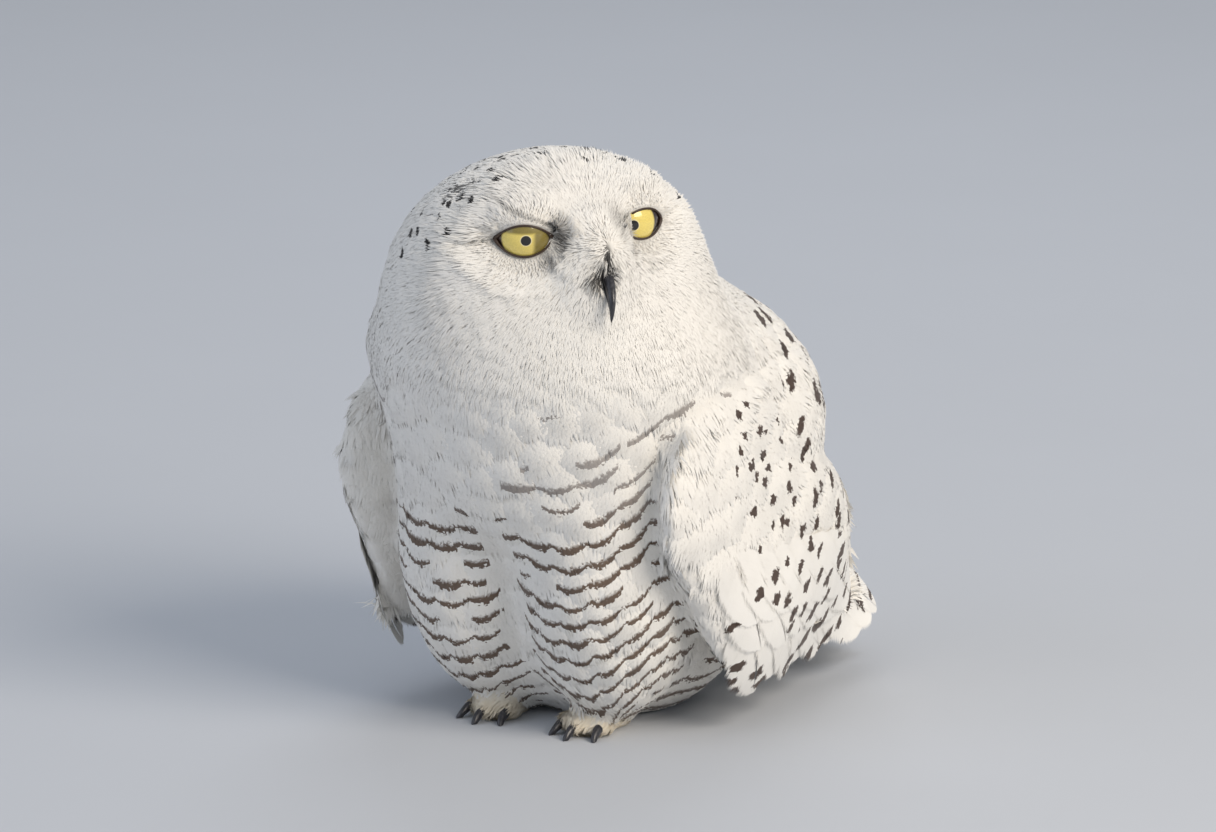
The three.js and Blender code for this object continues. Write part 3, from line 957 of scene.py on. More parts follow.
@dataclass
class Skin:
    """One closed skin for all the flesh, sunk below the CAD surface by the coat's depth."""

    voxel: float = 2.7
    swell: float = 0.5  # closes the gaps between the nodes
    depth: dict[Zone, float] = field(default_factory=lambda: {
        Zone.FACE: 2.2, Zone.CROWN: 1.8, Zone.FRONT: 3.8, Zone.BACK: 3.4, Zone.WING: 3.4,
        Zone.FOOT: 1.5})
    thin_share: float = 0.38  # of a thin wing's or foot's thickness, the deepest it sinks
    lid: float = 1.2  # thickness of the lids over the eyeball
    soft_borders: int = 45  # rounds of smoothing where zones meet on the body
    crisp_borders: int = 2  # and along the wings and the feet
    obj: bpy.types.Object | None = None
    weights: Array | None = None

    def build(self) -> bpy.types.Object:
        """Builds the skin from copies of the flesh and returns it."""
        parts = [copy_of(name, f"flesh_{name}") for name in FLESH]
        for part in parts:
            set_points(part, points(part) + normals(part) * self.swell * MM)
            word = part.name.rpartition("_")[2]
            if part.name.startswith("flesh_wing"):
                p = WING_LINES[word].blunt(bird_points(part))
                place(part, p)
        balls = [copy_of(f"eye_{word}", f"ball_{word}") for word in SIDES]
        only(*parts, *balls)
        bpy.ops.object.join()
        self.obj = bpy.context.object
        self.obj.name = self.obj.data.name = "skin"
        modify(self.obj, "REMESH", mode="VOXEL", voxel_size=self.voxel * MM)
        modify(self.obj, "SMOOTH", factor=0.5, iterations=5)
        self.keep_largest()
        self.refine_round_eyes()
        self.sink()
        self.shape_lids()
        modify(self.obj, "TRIANGULATE")
        only(self.obj)
        bpy.ops.object.shade_smooth()
        return self.obj

    def keep_largest(self) -> None:
        """Drops loose crumbs that the remesh left beside the body."""
        height = points(self.obj)[:, 2]
        pick(self.obj, np.arange(len(height)) == np.argmax(height))
        with editing(self.obj, ""):
            bpy.ops.mesh.select_linked()
            bpy.ops.mesh.select_all(action="INVERT")
            bpy.ops.mesh.delete(type="VERT")
        LOG.info("skin keeps %d of %d vertices", len(self.obj.data.vertices), len(height))

    def refine_round_eyes(self) -> None:
        """Subdivides the skin round each eye."""
        for reach in (34.0, 29.0):
            p = bird_points(self.obj)
            near = np.zeros(len(p), bool)
            for word in SIDES:
                q = BIRD.in_eye(p, word)
                near |= (np.linalg.norm(q, axis=1) < reach) & (q[:, 1] < 2)
            pick(self.obj, near)
            with editing(self.obj, ""):
                bpy.ops.mesh.select_mode(type="VERT")
                bpy.ops.mesh.select_mode(type="FACE")
                bpy.ops.mesh.subdivide(number_cuts=1, smoothness=0.6)

    def gap_to(self, world: Array, names: Sequence[str]) -> Array:
        """Measures how far points are from some CAD nodes, where they are close.

        Args:
            world: Points, in metres.
            names: The nodes.

        Returns:
            The distance to the nearest, or a huge number where none is close.
        """
        gap = np.full(len(world), 1e9)
        for name in names:
            tree = surface_of(name)
            low, high = (np.array(c) - 6 * MM * s for c, s in zip(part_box(name), (1, -1)))
            for i in np.flatnonzero(((world > low) & (world < high)).all(1)):
                gap[i] = min(gap[i], tree.find_nearest(world[i])[3])
        return gap

    def zones(self, p: Array) -> Array:
        """Tells how much of each zone there is at each vertex of the skin.

        Args:
            p: The skin's vertices, in the bird's frame.

        Returns:
            One row of weights for each vertex, one for each zone.
        """
        to_wing, to_foot, to_rest = (self.gap_to(BIRD.to_mesh(p), names) for names in (
            ("wing_left", "wing_right"), ("foot_left", "foot_right"),
            ("head", "neck", "trunk", "leg_left", "leg_right")))
        zone = np.where(p[:, 1] < 55, Zone.FRONT, Zone.BACK)
        zone[(p[:, 2] < 50) & (p[:, 1] < 140)] = Zone.FRONT
        upper = p[:, 2] > 262 + 0.16 * p[:, 1]
        zone[upper] = Zone.CROWN
        h = BIRD.to_head(p)
        facing = angle_from_face(h) < 66 - 6 * smooth(30, 60, h[:, 2])
        zone[facing & (p[:, 2] > 255)] = Zone.FACE
        weights = np.eye(len(Zone))[zone]
        for _ in range(self.soft_borders):
            weights = 0.4 * weights + 0.6 * self.spread(weights)
        foot = (to_foot < to_rest) & (p[:, 2] < 24)
        wing = (to_wing < to_rest) & (to_wing < to_foot)
        weights[foot] = np.eye(len(Zone))[Zone.FOOT]
        weights[wing] = np.eye(len(Zone))[Zone.WING]
        for _ in range(self.crisp_borders):
            weights = 0.5 * weights + 0.5 * self.spread(weights)
        return weights

    def spread(self, values: Array) -> Array:
        """Returns the mean of each vertex's neighbours.

        Args:
            values: One row for each vertex.

        Returns:
            The neighbours' means.
        """
        a, b = self.edges
        count = np.bincount(a, minlength=len(values)) + np.bincount(b, minlength=len(values))
        rows = values.reshape(len(values), -1)
        total = np.stack([np.bincount(a, row[b], len(row)) + np.bincount(b, row[a], len(row))
                          for row in rows.T], axis=1)
        return (total / np.maximum(count, 1)[:, None]).reshape(values.shape)

    @property
    def edges(self) -> Array:
        """Returns the two ends of every edge of the skin."""
        ends = np.empty(len(self.obj.data.edges) * 2, np.int32)
        self.obj.data.edges.foreach_get("vertices", ends)
        return ends.reshape(-1, 2).T

    def sink(self) -> None:
        """Moves the skin inwards by the depth of the coat over it."""
        p = bird_points(self.obj)
        n = normals(self.obj)
        weights = self.zones(p)
        depth = weights @ np.array([self.depth[z] for z in Zone]) + self.swell
        tree = BVHTree.FromObject(self.obj, bpy.context.evaluated_depsgraph_get())
        world = points(self.obj)
        thick = np.full(len(p), 60.0)
        thin = weights[:, [Zone.WING, Zone.FOOT]].sum(1) > 0.3
        for i in np.flatnonzero(thin):
            start = Vector(world[i] - n[i] * 0.2 * MM)
            hit = tree.ray_cast(start, Vector(-n[i]), 0.06)
            if hit[0] is not None:
                thick[i] = hit[3] / MM
        depth = np.minimum(depth, self.thin_share * thick)
        for _ in range(14):
            depth = 0.5 * depth + 0.5 * self.spread(depth)
        p -= n * depth[:, None]
        p[:, 2] = np.maximum(p[:, 2], 0.6)
        place(self.obj, p)

    def shape_lids(self) -> None:
        """Opens the skin over each eyeball and lays it over the ball as lids."""
        p = bird_points(self.obj)
        for word in SIDES:
            q = BIRD.in_eye(p, word)
            far = np.linalg.norm(q, axis=1)
            wide = BIRD.gap(p, word)
            near = (far < 50) & (q[:, 1] < -2)
            out = unit(q)
            gap = BIRD.gap(BIRD.from_eye(out * BIRD.eye_radius, word), word)
            gap += np.maximum(wide - 5, 0) * smooth(0.3, 1.8, gap)
            over = BIRD.eye_radius + self.lid * smooth(-0.5, 1.2, gap)
            under = BIRD.eye_radius - 2.0
            ball = under + (over - under) * smooth(-1.2, 0.2, gap)
            fade = smooth(1.0, 14.0, gap)
            radius = ball * (1 - fade) + far * fade
            radius = np.where(gap > 1.5, np.maximum(radius, np.minimum(far, over + 9 * fade)),
                              radius)
            moved = out * radius[:, None]
            q = np.where(near[:, None], moved, q)
            p = BIRD.from_eye(q, word)
        place(self.obj, p)

    def finish(self, material: bpy.types.Material) -> None:
        """Gives the skin its markings and material, and lets it stand for the flesh."""
        p = bird_points(self.obj)
        self.weights = self.zones(p)
        # the skin takes the colour a third of the way along a tuft, inside the painted root shade
        flat = np.full(len(p), 0.35)
        write_attributes(self.obj.data, MARKINGS.paint(p, self.weights, flat, flat * 0))
        dress(self.obj, material)
        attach(self.obj, ROOT)
        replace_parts(self.obj, *FLESH)


# ------------------------------------------------------------------ eyes, bill and claws

@dataclass
class Eyes:
    """Two eyeballs that stand for the CAD ones, each in a dark lid rim."""

    bulge: float = 0.7  # how far the cornea stands out
    rim: float = 0.75
    proud: tuple[float, float] = (1.2, 0.8)  # of the ball, on the lower lid and the upper
    steps: int = 30
    segments: int = 72
    rings: int = 48

    def build(self, balls: dict[str, bpy.types.Material], skin: bpy.types.Material) -> None:
        """Builds both eyes.

        Args:
            balls: Each eyeball's material.
            skin: The lid rim's material.
        """
        for word in SIDES:
            self.eyeball(word, balls[word])
            self.lid_rim(word, skin)

    def sphere(self) -> tuple[Array, list[list[int]]]:
        """Returns a ball's points and faces, of radius 1 and with a pole where it looks."""
        polar = np.linspace(0, math.pi, self.rings + 1)[1:-1, None]
        turn = np.arange(self.segments) * math.tau / self.segments
        rows = np.broadcast_arrays(np.sin(polar) * np.cos(turn), -np.cos(polar),
                                   np.sin(polar) * np.sin(turn))
        p = np.r_[np.stack(rows, axis=2).reshape(-1, 3), [[0, -1, 0], [0, 1, 0]]]
        a = np.arange(len(p) - 2).reshape(-1, self.segments)
        b = np.roll(a, -1, axis=1)
        faces = np.stack([a[:-1], a[1:], b[1:], b[:-1]], axis=2).reshape(-1, 4).tolist()
        faces += [[len(p) - 2, int(i), int(j)] for i, j in zip(a[0], b[0])]
        faces += [[len(p) - 1, int(j), int(i)] for i, j in zip(a[-1], b[-1])]
        return p, faces

    def eyeball(self, word: str, material: bpy.types.Material) -> None:
        """Models one ball with its cornea and its map round the gaze."""
        radius = BIRD.eye_radius
        q, faces = self.sphere()
        off = np.degrees(np.arccos(np.clip(-q[:, 1], -1, 1)))
        q *= (radius + self.bulge * np.clip(1 - (off / 46) ** 2, 0, 1))[:, None]
        centre = BIRD.eye_centre(word) - BIRD.origin
        mesh = bpy.data.meshes.new(f"eyeball_{word}")
        mesh.from_pydata(BIRD.to_mesh(q @ BIRD.gaze_axes(word) + centre), [], faces)
        obj = new_object(f"eyeball_{word}", mesh)
        flat = q[:, [0, 2]] / (2 * radius)
        behind = q[:, 1] > 0
        flat[behind] = unit(flat[behind]) * 0.5
        loops = np.concatenate(faces)
        layer = mesh.uv_layers.new(name="gaze")
        layer.data.foreach_set("uv", (flat[loops] + 0.5).astype(np.float32).ravel())
        only(obj)
        bpy.ops.object.shade_smooth()
        dress(obj, material)
        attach(obj, ROOT)
        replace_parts(obj, f"eye_{word}")

    def lid_rim(self, word: str, material: bpy.types.Material) -> None:
        """Models the bare dark edge of the lids as a closed tube along the opening."""
        half, rise = (size / 2 for size in BIRD.own(BIRD.openings, word))
        drop, veil = BIRD.own(BIRD.drop, word), BIRD.own(BIRD.veil, word)
        bow = (half * half + rise * rise) / (2 * rise)
        x = -half * np.cos(np.linspace(0, math.pi, self.steps, endpoint=False))
        z = np.sqrt(np.maximum(bow ** 2 - x ** 2, 0)) - (bow - rise)
        outline = np.r_[np.c_[x, z], np.c_[-x, -z]] + [0, drop]
        proud = np.where(outline[:, 1] < drop, self.proud[0], self.proud[1])
        ball = BIRD.eye_radius + np.where(outline[:, 0] < veil, -2.0, proud)
        outline[:, 0] = np.maximum(outline[:, 0], veil)
        depth = -np.sqrt(ball ** 2 - (outline ** 2).sum(1))
        ring = np.c_[outline[:, 0], depth, outline[:, 1]]
        corner = smooth(0.72, 1.0, np.abs(outline[:, 0]) / half)
        curve = bpy.data.curves.new(f"lid_rim_{word}", "CURVE")
        curve.dimensions = "3D"
        curve.bevel_depth = self.rim * MM
        curve.bevel_resolution = 3
        spline = curve.splines.new("POLY")
        spline.points.add(len(ring) - 1)
        world = BIRD.to_mesh(BIRD.from_eye(ring, word))
        spline.points.foreach_set("co", np.c_[world, np.ones(len(ring))].ravel())
        spline.points.foreach_set("radius", 1.0 + 0.9 * corner)
        spline.use_cyclic_u = True
        obj = new_object(f"lid_rim_{word}", curve)
        only(obj)
        bpy.ops.object.convert(target="MESH")
        bpy.ops.object.shade_smooth()
        dress(obj, material)
        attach(obj, ROOT)


@dataclass
class HornParts:
    """The bill and the claws: smoothed copies of the CAD solids."""

    levels: int = 2
    names: tuple[str, ...] = ("bill_upper", "bill_lower") + tuple(
        f"claw_{word}_{toe}" for word in SIDES for toe in ("inner", "middle", "outer"))

    def build(self, material: bpy.types.Material) -> None:
        """Builds each piece and dresses it."""
        for name in self.names:
            obj = copy_of(name, f"{name}_horn")
            if name.startswith("bill"):
                self.hook(obj)
            with editing(obj):
                bpy.ops.mesh.tris_convert_to_quads()
            modify(obj, "SUBSURF", levels=self.levels, render_levels=self.levels)
            only(obj)
            bpy.ops.object.shade_smooth()
            dress(obj, material)
            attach(obj, ROOT)
            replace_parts(obj, name)

    def hook(self, obj: bpy.types.Object) -> None:
        """Sinks the bill's root under the bristles and hangs its tip straight down."""
        h = BIRD.to_head(bird_points(obj))
        root, tip = smooth(4, 20, h[:, 2]), smooth(8, -18, h[:, 2])
        h[:, 1] += 5.0 * root + 2.5 * tip - 0.8 * (1 - root) * (1 - tip)
        h[:, 0] += 1.0 + 3.4 * root - 1.6 * tip
        h[:, 2] -= 4.5 * tip
        place(obj, BIRD.from_head(h) + np.array(BIRD.pivot))


# ------------------------------------------------------------------ the coat

TUFT_FACES = np.array([[0, 3, 1], [0, 2, 3], [0, 1, 2], [4, 1, 3], [4, 3, 2], [4, 2, 1]])
TUFT_SIDE = np.array([1, 1, -1, 1, 1, -1])  # which faces look away from the skin
TUFT_MAP = np.array([[0.5, 0.0], [0.0, 0.45], [1.0, 0.45], [0.5, 0.45], [0.5, 1.0]])
TUFT_ALONG = np.array([0.0, 0.5, 0.5, 0.55, 1.0])


def tuft_mesh(name: str, verts: Array, turned: Array, uv: Array,
              paint: dict[str, Array]) -> bpy.types.Object:
    """Makes one joined mesh of tufts, smooth, with its bake map and its markings.

    Args:
        name: The object's name.
        verts: Five points for each tuft, in the bird's frame.
        turned: Their normals, for the faces that look away from the skin.
        uv: Their map places.
        paint: Point attributes for the plumage material.

    Returns:
        The object.
    """
    faces = (TUFT_FACES[None] + 5 * np.arange(len(verts))[:, None, None]).ravel()
    co = BIRD.to_mesh(verts.reshape(-1, 3))
    mesh = bpy.data.meshes.new(name)
    mesh.vertices.add(len(co))
    mesh.vertices.foreach_set("co", co.astype(np.float32).ravel())
    mesh.loops.add(len(faces))
    mesh.loops.foreach_set("vertex_index", faces.astype(np.int32))
    mesh.polygons.add(len(faces) // 3)
    mesh.polygons.foreach_set("loop_start", np.arange(0, len(faces), 3, dtype=np.int32))
    mesh.update(calc_edges=True)
    mesh.polygons.foreach_set("use_smooth", np.ones(len(faces) // 3, bool))
    layer = mesh.uv_layers.new(name=BAKE_MAP)
    flat = np.clip(uv.reshape(-1, 2), 0.001, 0.999)
    layer.data.foreach_set("uv", flat[faces].astype(np.float32).ravel())
    both = turned[:, TUFT_FACES] * TUFT_SIDE[:, None, None]
    mesh.normals_split_custom_set(both.reshape(-1, 3))
    write_attributes(mesh, paint)
    return new_object(name, mesh)


@dataclass(frozen=True)
class Growth:
    """How one zone's tufts grow. Lengths are in millimetres, angles in radians."""

    length: float
    width: float
    per_mm2: float
    lift: float
    stray: float = 0.06
    feather: float = 16.0  # size of the feathers that the tufts are gathered into
    step: float = 0.9  # how far a feather's end stands over the next
    fan: float = 0.5
    round: float = 0.2  # how far a tuft's edges seem to turn away
    pillow: float = 0.4  # and how far a whole feather's do


@dataclass
class Patch:
    """A stretch of the skin that one coat piece grows from."""

    name: str
    corners: Array
    normals: Array
    weights: Array
    uv: Array

    def scatter(self, per_mm2: Array, rng: np.random.Generator) -> dict[str, Array]:
        """Spreads roots evenly over the patch.

        Args:
            per_mm2: Roots for each square millimetre of each face.
            rng: The source of chance.

        Returns:
            Places, normals, zone weights and map places of the roots.
        """
        a, b, c = (self.corners[:, i] for i in range(3))
        area = np.linalg.norm(np.cross(b - a, c - a), axis=1) / 2 * per_mm2
        ends = np.cumsum(area)
        count = int(ends[-1])
        at = (np.arange(count) + rng.random(count)) / count * ends[-1]
        face = np.minimum(np.searchsorted(ends, at), len(ends) - 1)
        u, v = np.sqrt(rng.random(count)), rng.random(count)
        share = np.stack([1 - u, u * (1 - v), u * v], axis=1)[:, :, None]
        return {"p": (self.corners[face] * share).sum(1),
                "n": unit((self.normals[face] * share).sum(1)),
                "weights": (self.weights[face] * share).sum(1),
                "uv": (self.uv[face] * share).sum(1)}


@dataclass
class Coat:
    """Thousands of small solid tufts over the skin, gathered into soft feathers."""

    skin: Skin
    material: bpy.types.Material
    growth: dict[Zone, Growth] = field(default_factory=lambda: {
        Zone.FACE: Growth(9.5, 1.0, 1.02, 0.10, stray=0.08, feather=9, step=0.2, fan=0.2,
                          round=0.32, pillow=0.15),
        Zone.CROWN: Growth(12, 1.6, 0.50, 0.09, stray=0.07, feather=13, step=0.4, round=0.3),
        Zone.FRONT: Growth(15, 2.3, 0.58, 0.05, feather=27, step=1.1, pillow=0.7),
        Zone.BACK: Growth(15, 2.3, 0.38, 0.05, feather=24, step=0.9, pillow=0.7),
        Zone.WING: Growth(16, 2.4, 0.50, 0.04, stray=0.05, feather=26, step=0.8, pillow=0.6),
        Zone.FOOT: Growth(10, 1.0, 0.9, 0.2, feather=9, step=0.3, round=0.35)})
    most: int = 32500  # tufts in one piece
    ridge: float = 0.12  # a tuft's ridge over its edges, as a share of its width
    bend: float = 260.0  # a tuft droops by the square of its length over this
    sunk: float = 0.9  # how deep its root sits in the skin
    clear: float = 0.15  # how far it stays off the floor
    tufts: int = 0

    def build(self) -> None:
        """Builds every piece of the coat."""
        for patch in self.patches():
            self.piece(patch)
        LOG.info("coat has %d tufts, %d triangles", self.tufts, self.tufts * 6)

    def patches(self) -> list[Patch]:
        """Divides the skin into the stretches that the coat pieces grow from."""
        mesh = self.skin.obj.data
        tri = np.empty(len(mesh.polygons) * 3, np.int32)
        mesh.polygons.foreach_get("vertices", tri)
        tri = tri.reshape(-1, 3)
        p = bird_points(self.skin.obj)
        n = normals(self.skin.obj)
        zone = self.skin.weights[tri].mean(1).argmax(1)
        centre = p[tri].mean(1)
        left = centre[:, 0] > 0
        low = centre[:, 2] < 135
        groups = {"face": zone == Zone.FACE, "crown": zone == Zone.CROWN,
                  "feet": zone == Zone.FOOT}
        for word, here in (("left", left), ("right", ~left)):
            groups[f"belly_{word}"] = (zone == Zone.FRONT) & here & low
            groups[f"breast_{word}"] = (zone == Zone.FRONT) & here & ~low
            groups[f"back_{word}"] = (zone == Zone.BACK) & here
            groups[f"wing_{word}"] = (zone == Zone.WING) & here
        made = []
        for name, faces in groups.items():
            if faces.any():
                uv = self.unwrap(p, tri[faces])
                made.append(Patch(f"coat_{name}", p[tri[faces]], n[tri[faces]],
                                  self.skin.weights[tri[faces]], uv))
        return made

    def unwrap(self, p: Array, tri: Array) -> Array:
        """Unwraps a stretch of the skin.

        Args:
            p: The skin's vertices.
            tri: The stretch's triangles.

        Returns:
            A map place for each corner of each triangle.
        """
        used, index = np.unique(tri, return_inverse=True)
        mesh = bpy.data.meshes.new("unwrap")
        mesh.from_pydata(p[used] * MM, [], index.reshape(-1, 3).tolist())
        obj = new_object("unwrap", mesh)
        with editing(obj):
            bpy.ops.uv.unwrap(method="CONFORMAL", margin=0.005)
        uv = np.empty(len(tri) * 6, np.float32)
        mesh.uv_layers.active.data.foreach_get("uv", uv)
        bpy.data.objects.remove(obj)
        bpy.data.meshes.remove(mesh)
        uv = uv.reshape(-1, 3, 2).astype(float)
        low, high = uv.min((0, 1)), uv.max((0, 1))
        return 0.01 + 0.98 * (uv - low) / np.maximum(high - low, 1e-6)

    def piece(self, patch: Patch) -> None:
        """Grows one piece of the coat from its patch."""
        rng = np.random.default_rng(sum(map(ord, patch.name)))
        per_mm2 = patch.weights.mean(1) @ np.array([self.growth[z].per_mm2 for z in Zone])
        centre = patch.corners.mean(1)
        wing = patch.weights.mean(1)[:, Zone.WING]
        per_mm2 = per_mm2 * self.clear_of_eyes(centre)
        per_mm2 *= self.clear_of_feathers(centre, patch.normals.mean(1), wing)
        per_mm2 *= 1 + 1.2 * blob(BIRD.to_head(centre), (-3, -90, 26), (13, 24, 16))
        root = patch.scatter(per_mm2, rng)
        LOG.info("%s: %d tufts", patch.name, len(root["p"]))
        if len(root["p"]) > self.most:
            keep = rng.permutation(len(root["p"]))[:self.most]
            root = {key: value[keep] for key, value in root.items()}
        self.tufts += len(root["p"])
        self.mesh(patch.name, *self.shape(root, rng), root["weights"])

    def clear_of_eyes(self, p: Array) -> Array:
        """Returns 0 where no tuft may grow, on the eyes and the bill, and 1 elsewhere."""
        keep = np.ones(len(p))
        for word in SIDES:
            q = BIRD.in_eye(p, word)
            keep[(q[:, 1] < 0) & (BIRD.gap(p, word) < 1.0)] = 0
        keep[p[:, 2] < 0.8] = 0.3
        return keep

    def clear_of_feathers(self, p: Array, n: Array, wing: Array) -> Array:
        """Thins the tufts out under the large feathers of the wings.

        Args:
            p: Points, in the bird's frame.
            n: The skin's normals there.
            wing: How much of the wing zone there is at each.

        Returns:
            The share of tufts that grow.
        """
        keep = np.ones(len(p))
        for line in WING_LINES.values():
            t, down = line.down(p)
            covered = smooth(-0.1, 0.15, down) * smooth(-0.2, -0.06, t[:, 0])
            covered *= smooth(0.1, 0.4, n[:, 0] * line.side)
            here = (p[:, 0] * line.side > 60) & (wing > 0.5)
            keep[here] = 1 - covered[here]
        return keep

    def feathers(self, root: dict[str, Array], lie: Array, size: Array,
                 rng: np.random.Generator) -> tuple[Array, Array]:
        """Gathers the roots into feathers.

        Args:
            root: The roots.
            lie: The way each tuft lies.
            size: The size of a feather at each root.
            rng: The source of chance.

        Returns:
            Each root's place in its feather, along it and across it, both about -0.5 to 0.5.
        """
        p = root["p"]
        order = rng.permutation(len(p))[:len(p) // 6]
        grid: dict[tuple[int, ...], list[int]] = {}
        seeds: list[int] = []
        cell = float(size.min())
        keys = np.floor(p[order] / cell).astype(int)
        for i, key in zip(order, map(tuple, keys)):
            close = [s for dx in (-1, 0, 1) for dy in (-1, 0, 1) for dz in (-1, 0, 1)
                     for s in grid.get((key[0] + dx, key[1] + dy, key[2] + dz), ())]
            gap = 0.78 * size[i]
            if all(((p[s] - p[i]) ** 2).sum() > gap * gap for s in close):
                grid.setdefault(key, []).append(i)
                seeds.append(i)
        tree = KDTree(len(seeds))
        for k, i in enumerate(seeds):
            tree.insert(p[i], k)
        tree.balance()
        nearest = np.array([tree.find(v)[1] for v in p])
        middle = p[np.array(seeds)][nearest]
        side = np.cross(lie, root["n"])
        off = p - middle
        return ((off * lie).sum(1) / size, (off * side).sum(1) / size)

    def face_features(self, p: Array) -> dict[str, Array]:
        """Finds where tufts change round the eyes and the bill.

        Args:
            p: Points, in the bird's frame.

        Returns:
            eye, how far each is from an eye's opening; short, the share of its length that a
            tuft keeps; and masks of the ruff round the face, the nasal edge of the left eye,
            the inner corner of the right one, the bristles and the tuft above the bill.
        """
        eye = np.full(len(p), 99.0)
        for word in SIDES:
            q = BIRD.in_eye(p, word)
            eye = np.where(q[:, 1] < 0, np.minimum(eye, BIRD.gap(p, word)), eye)
        h = BIRD.to_head(p)
        bill = np.linalg.norm(h - np.array([0, -88, 26]), axis=1)
        ruff = np.exp(-((angle_from_face(h) - 63) / 7) ** 2) * smooth(205, 225, p[:, 2])
        return {"eye": eye,
                "short": (0.32 + 0.68 * smooth(1.0, 15, eye)) * (0.6 + 0.4 * smooth(8, 26, bill)),
                "ruff": ruff * (0.35 + 0.65 * smooth(-40, 0, h[:, 2])),
                "nasal": blob(BIRD.in_eye(p, "left"), (-22, -12, -1), (10, 22, 15)),
                "inner": blob(BIRD.in_eye(p, "right"), (24, -14, -5), (12, 24, 16)),
                "bristle": blob(h, (-2, -90, 24), (13, 24, 17)),
                "rosette": blob(h, LIE.source, (7, 30, 7))}

    def shape(self, root: dict[str, Array], rng: np.random.Generator) -> tuple[Array, ...]:
        """Shapes a tuft at each root.

        Args:
            root: The roots.
            rng: The source of chance.

        Returns:
            The tufts' five points each, their normals, map places and jitter.
        """
        p, n = root["p"], root["n"]
        count = len(p)
        pick = {key: root["weights"] @ np.array([getattr(self.growth[z], key) for z in Zone])
                for key in ("length", "width", "lift", "stray", "feather", "step", "fan",
                            "round", "pillow")}
        lie = LIE.at(p, n, root["weights"])
        along, across = self.feathers(root, lie, pick["feather"], rng)
        side = np.cross(lie, n)
        turn = rng.normal(0, 1, count) * pick["stray"] + across * pick["fan"]
        turn += 0.10 * waves(p, 26, 5)
        lie = lie * np.cos(turn)[:, None] + side * np.sin(turn)[:, None]
        side = np.cross(lie, n)
        length = pick["length"] * rng.uniform(0.75, 1.2, count)
        width = pick["width"] * rng.uniform(0.8, 1.25, count)
        face = self.face_features(p)
        ruff, nasal, inner, bristle = (face[key] for key in ("ruff", "nasal", "inner", "bristle"))
        length *= face["short"] * (1 + 0.35 * ruff + 0.9 * (nasal + inner) + 1.3 * bristle)
        width *= (0.45 + 0.55 * face["short"]) * (1 - 0.45 * bristle)
        lift = pick["lift"] * rng.uniform(0.8, 1.2, count) * (0.5 + 0.5 * face["short"])
        lift += 0.32 * smooth(17, 3, face["eye"]) + 0.05 * np.clip(along, -0.7, 0.7)
        lift += 0.24 * ruff + 0.5 * nasal + 0.22 * (bristle + inner) + 0.8 * face["rosette"]
        rise = (np.clip(along, -0.6, 0.6) + 0.5) * pick["step"] + rng.uniform(-0.1, 0.15, count)
        rise += 0.4 * smooth(9, 2, face["eye"]) + 1.6 * inner
        base = p + n * (rise * 0.6)[:, None]
        ahead = length[:, None] * (lie * np.cos(lift)[:, None] + n * np.sin(lift)[:, None])
        sag = (length ** 2 / self.bend)[:, None] * n
        middle = base + 0.45 * ahead + n * (0.05 * length)[:, None]
        half = side * (width / 2)[:, None]
        verts = np.stack([base - n * self.sunk, middle - half, middle + half,
                          middle + n * (width * self.ridge)[:, None], base + ahead - sag], axis=1)
        verts[:, :, 2] = np.maximum(verts[:, :, 2], self.clear)
        swell = pick["pillow"] * smooth(0.9, 0.3, np.hypot(along, across))
        soft = n + lie * (swell * along)[:, None] + side * (swell * across)[:, None]
        edge = side * pick["round"][:, None]
        turned = np.stack([soft, soft - edge, soft + edge, soft, soft + lie * 0.1], axis=1)
        uv = root["uv"][:, None, :] + (TUFT_MAP - np.array([0.5, 0.0])) * MAP_PATCH
        jitter = rng.normal(0, 0.75, count)
        return verts, unit(turned), uv, jitter

    def mesh(self, name: str, verts: Array, turned: Array, uv: Array, jitter: Array,
             weights: Array) -> None:
        """Makes one joined mesh of tufts.

        Args:
            name: The piece's name.
            verts: Five points for each tuft.
            turned: Their normals, which follow the skin's, so that the coat looks soft.
            uv: Their map places.
            jitter: How far each tuft's markings are out of step.
            weights: Each tuft's zone weights.
        """
        along = np.tile(TUFT_ALONG, len(verts))
        paint = MARKINGS.paint(verts.reshape(-1, 3), np.repeat(weights, 5, 0), along,
                               np.repeat(jitter, 5))
        obj = tuft_mesh(name, verts, turned, uv, paint)
        dress(obj, self.material)
        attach(obj, ROOT)


@dataclass
class Vane:
    """One large feather on a surface, from its root to its tip."""

    root: Array
    way: Array  # from the root to the tip
    width: float
    lift: float = 0.0  # how far it lies over the surface
    tilt: float = 0.7  # how far its near edge stands over its far one
    bars: float = 0.0  # the share of its bars that show


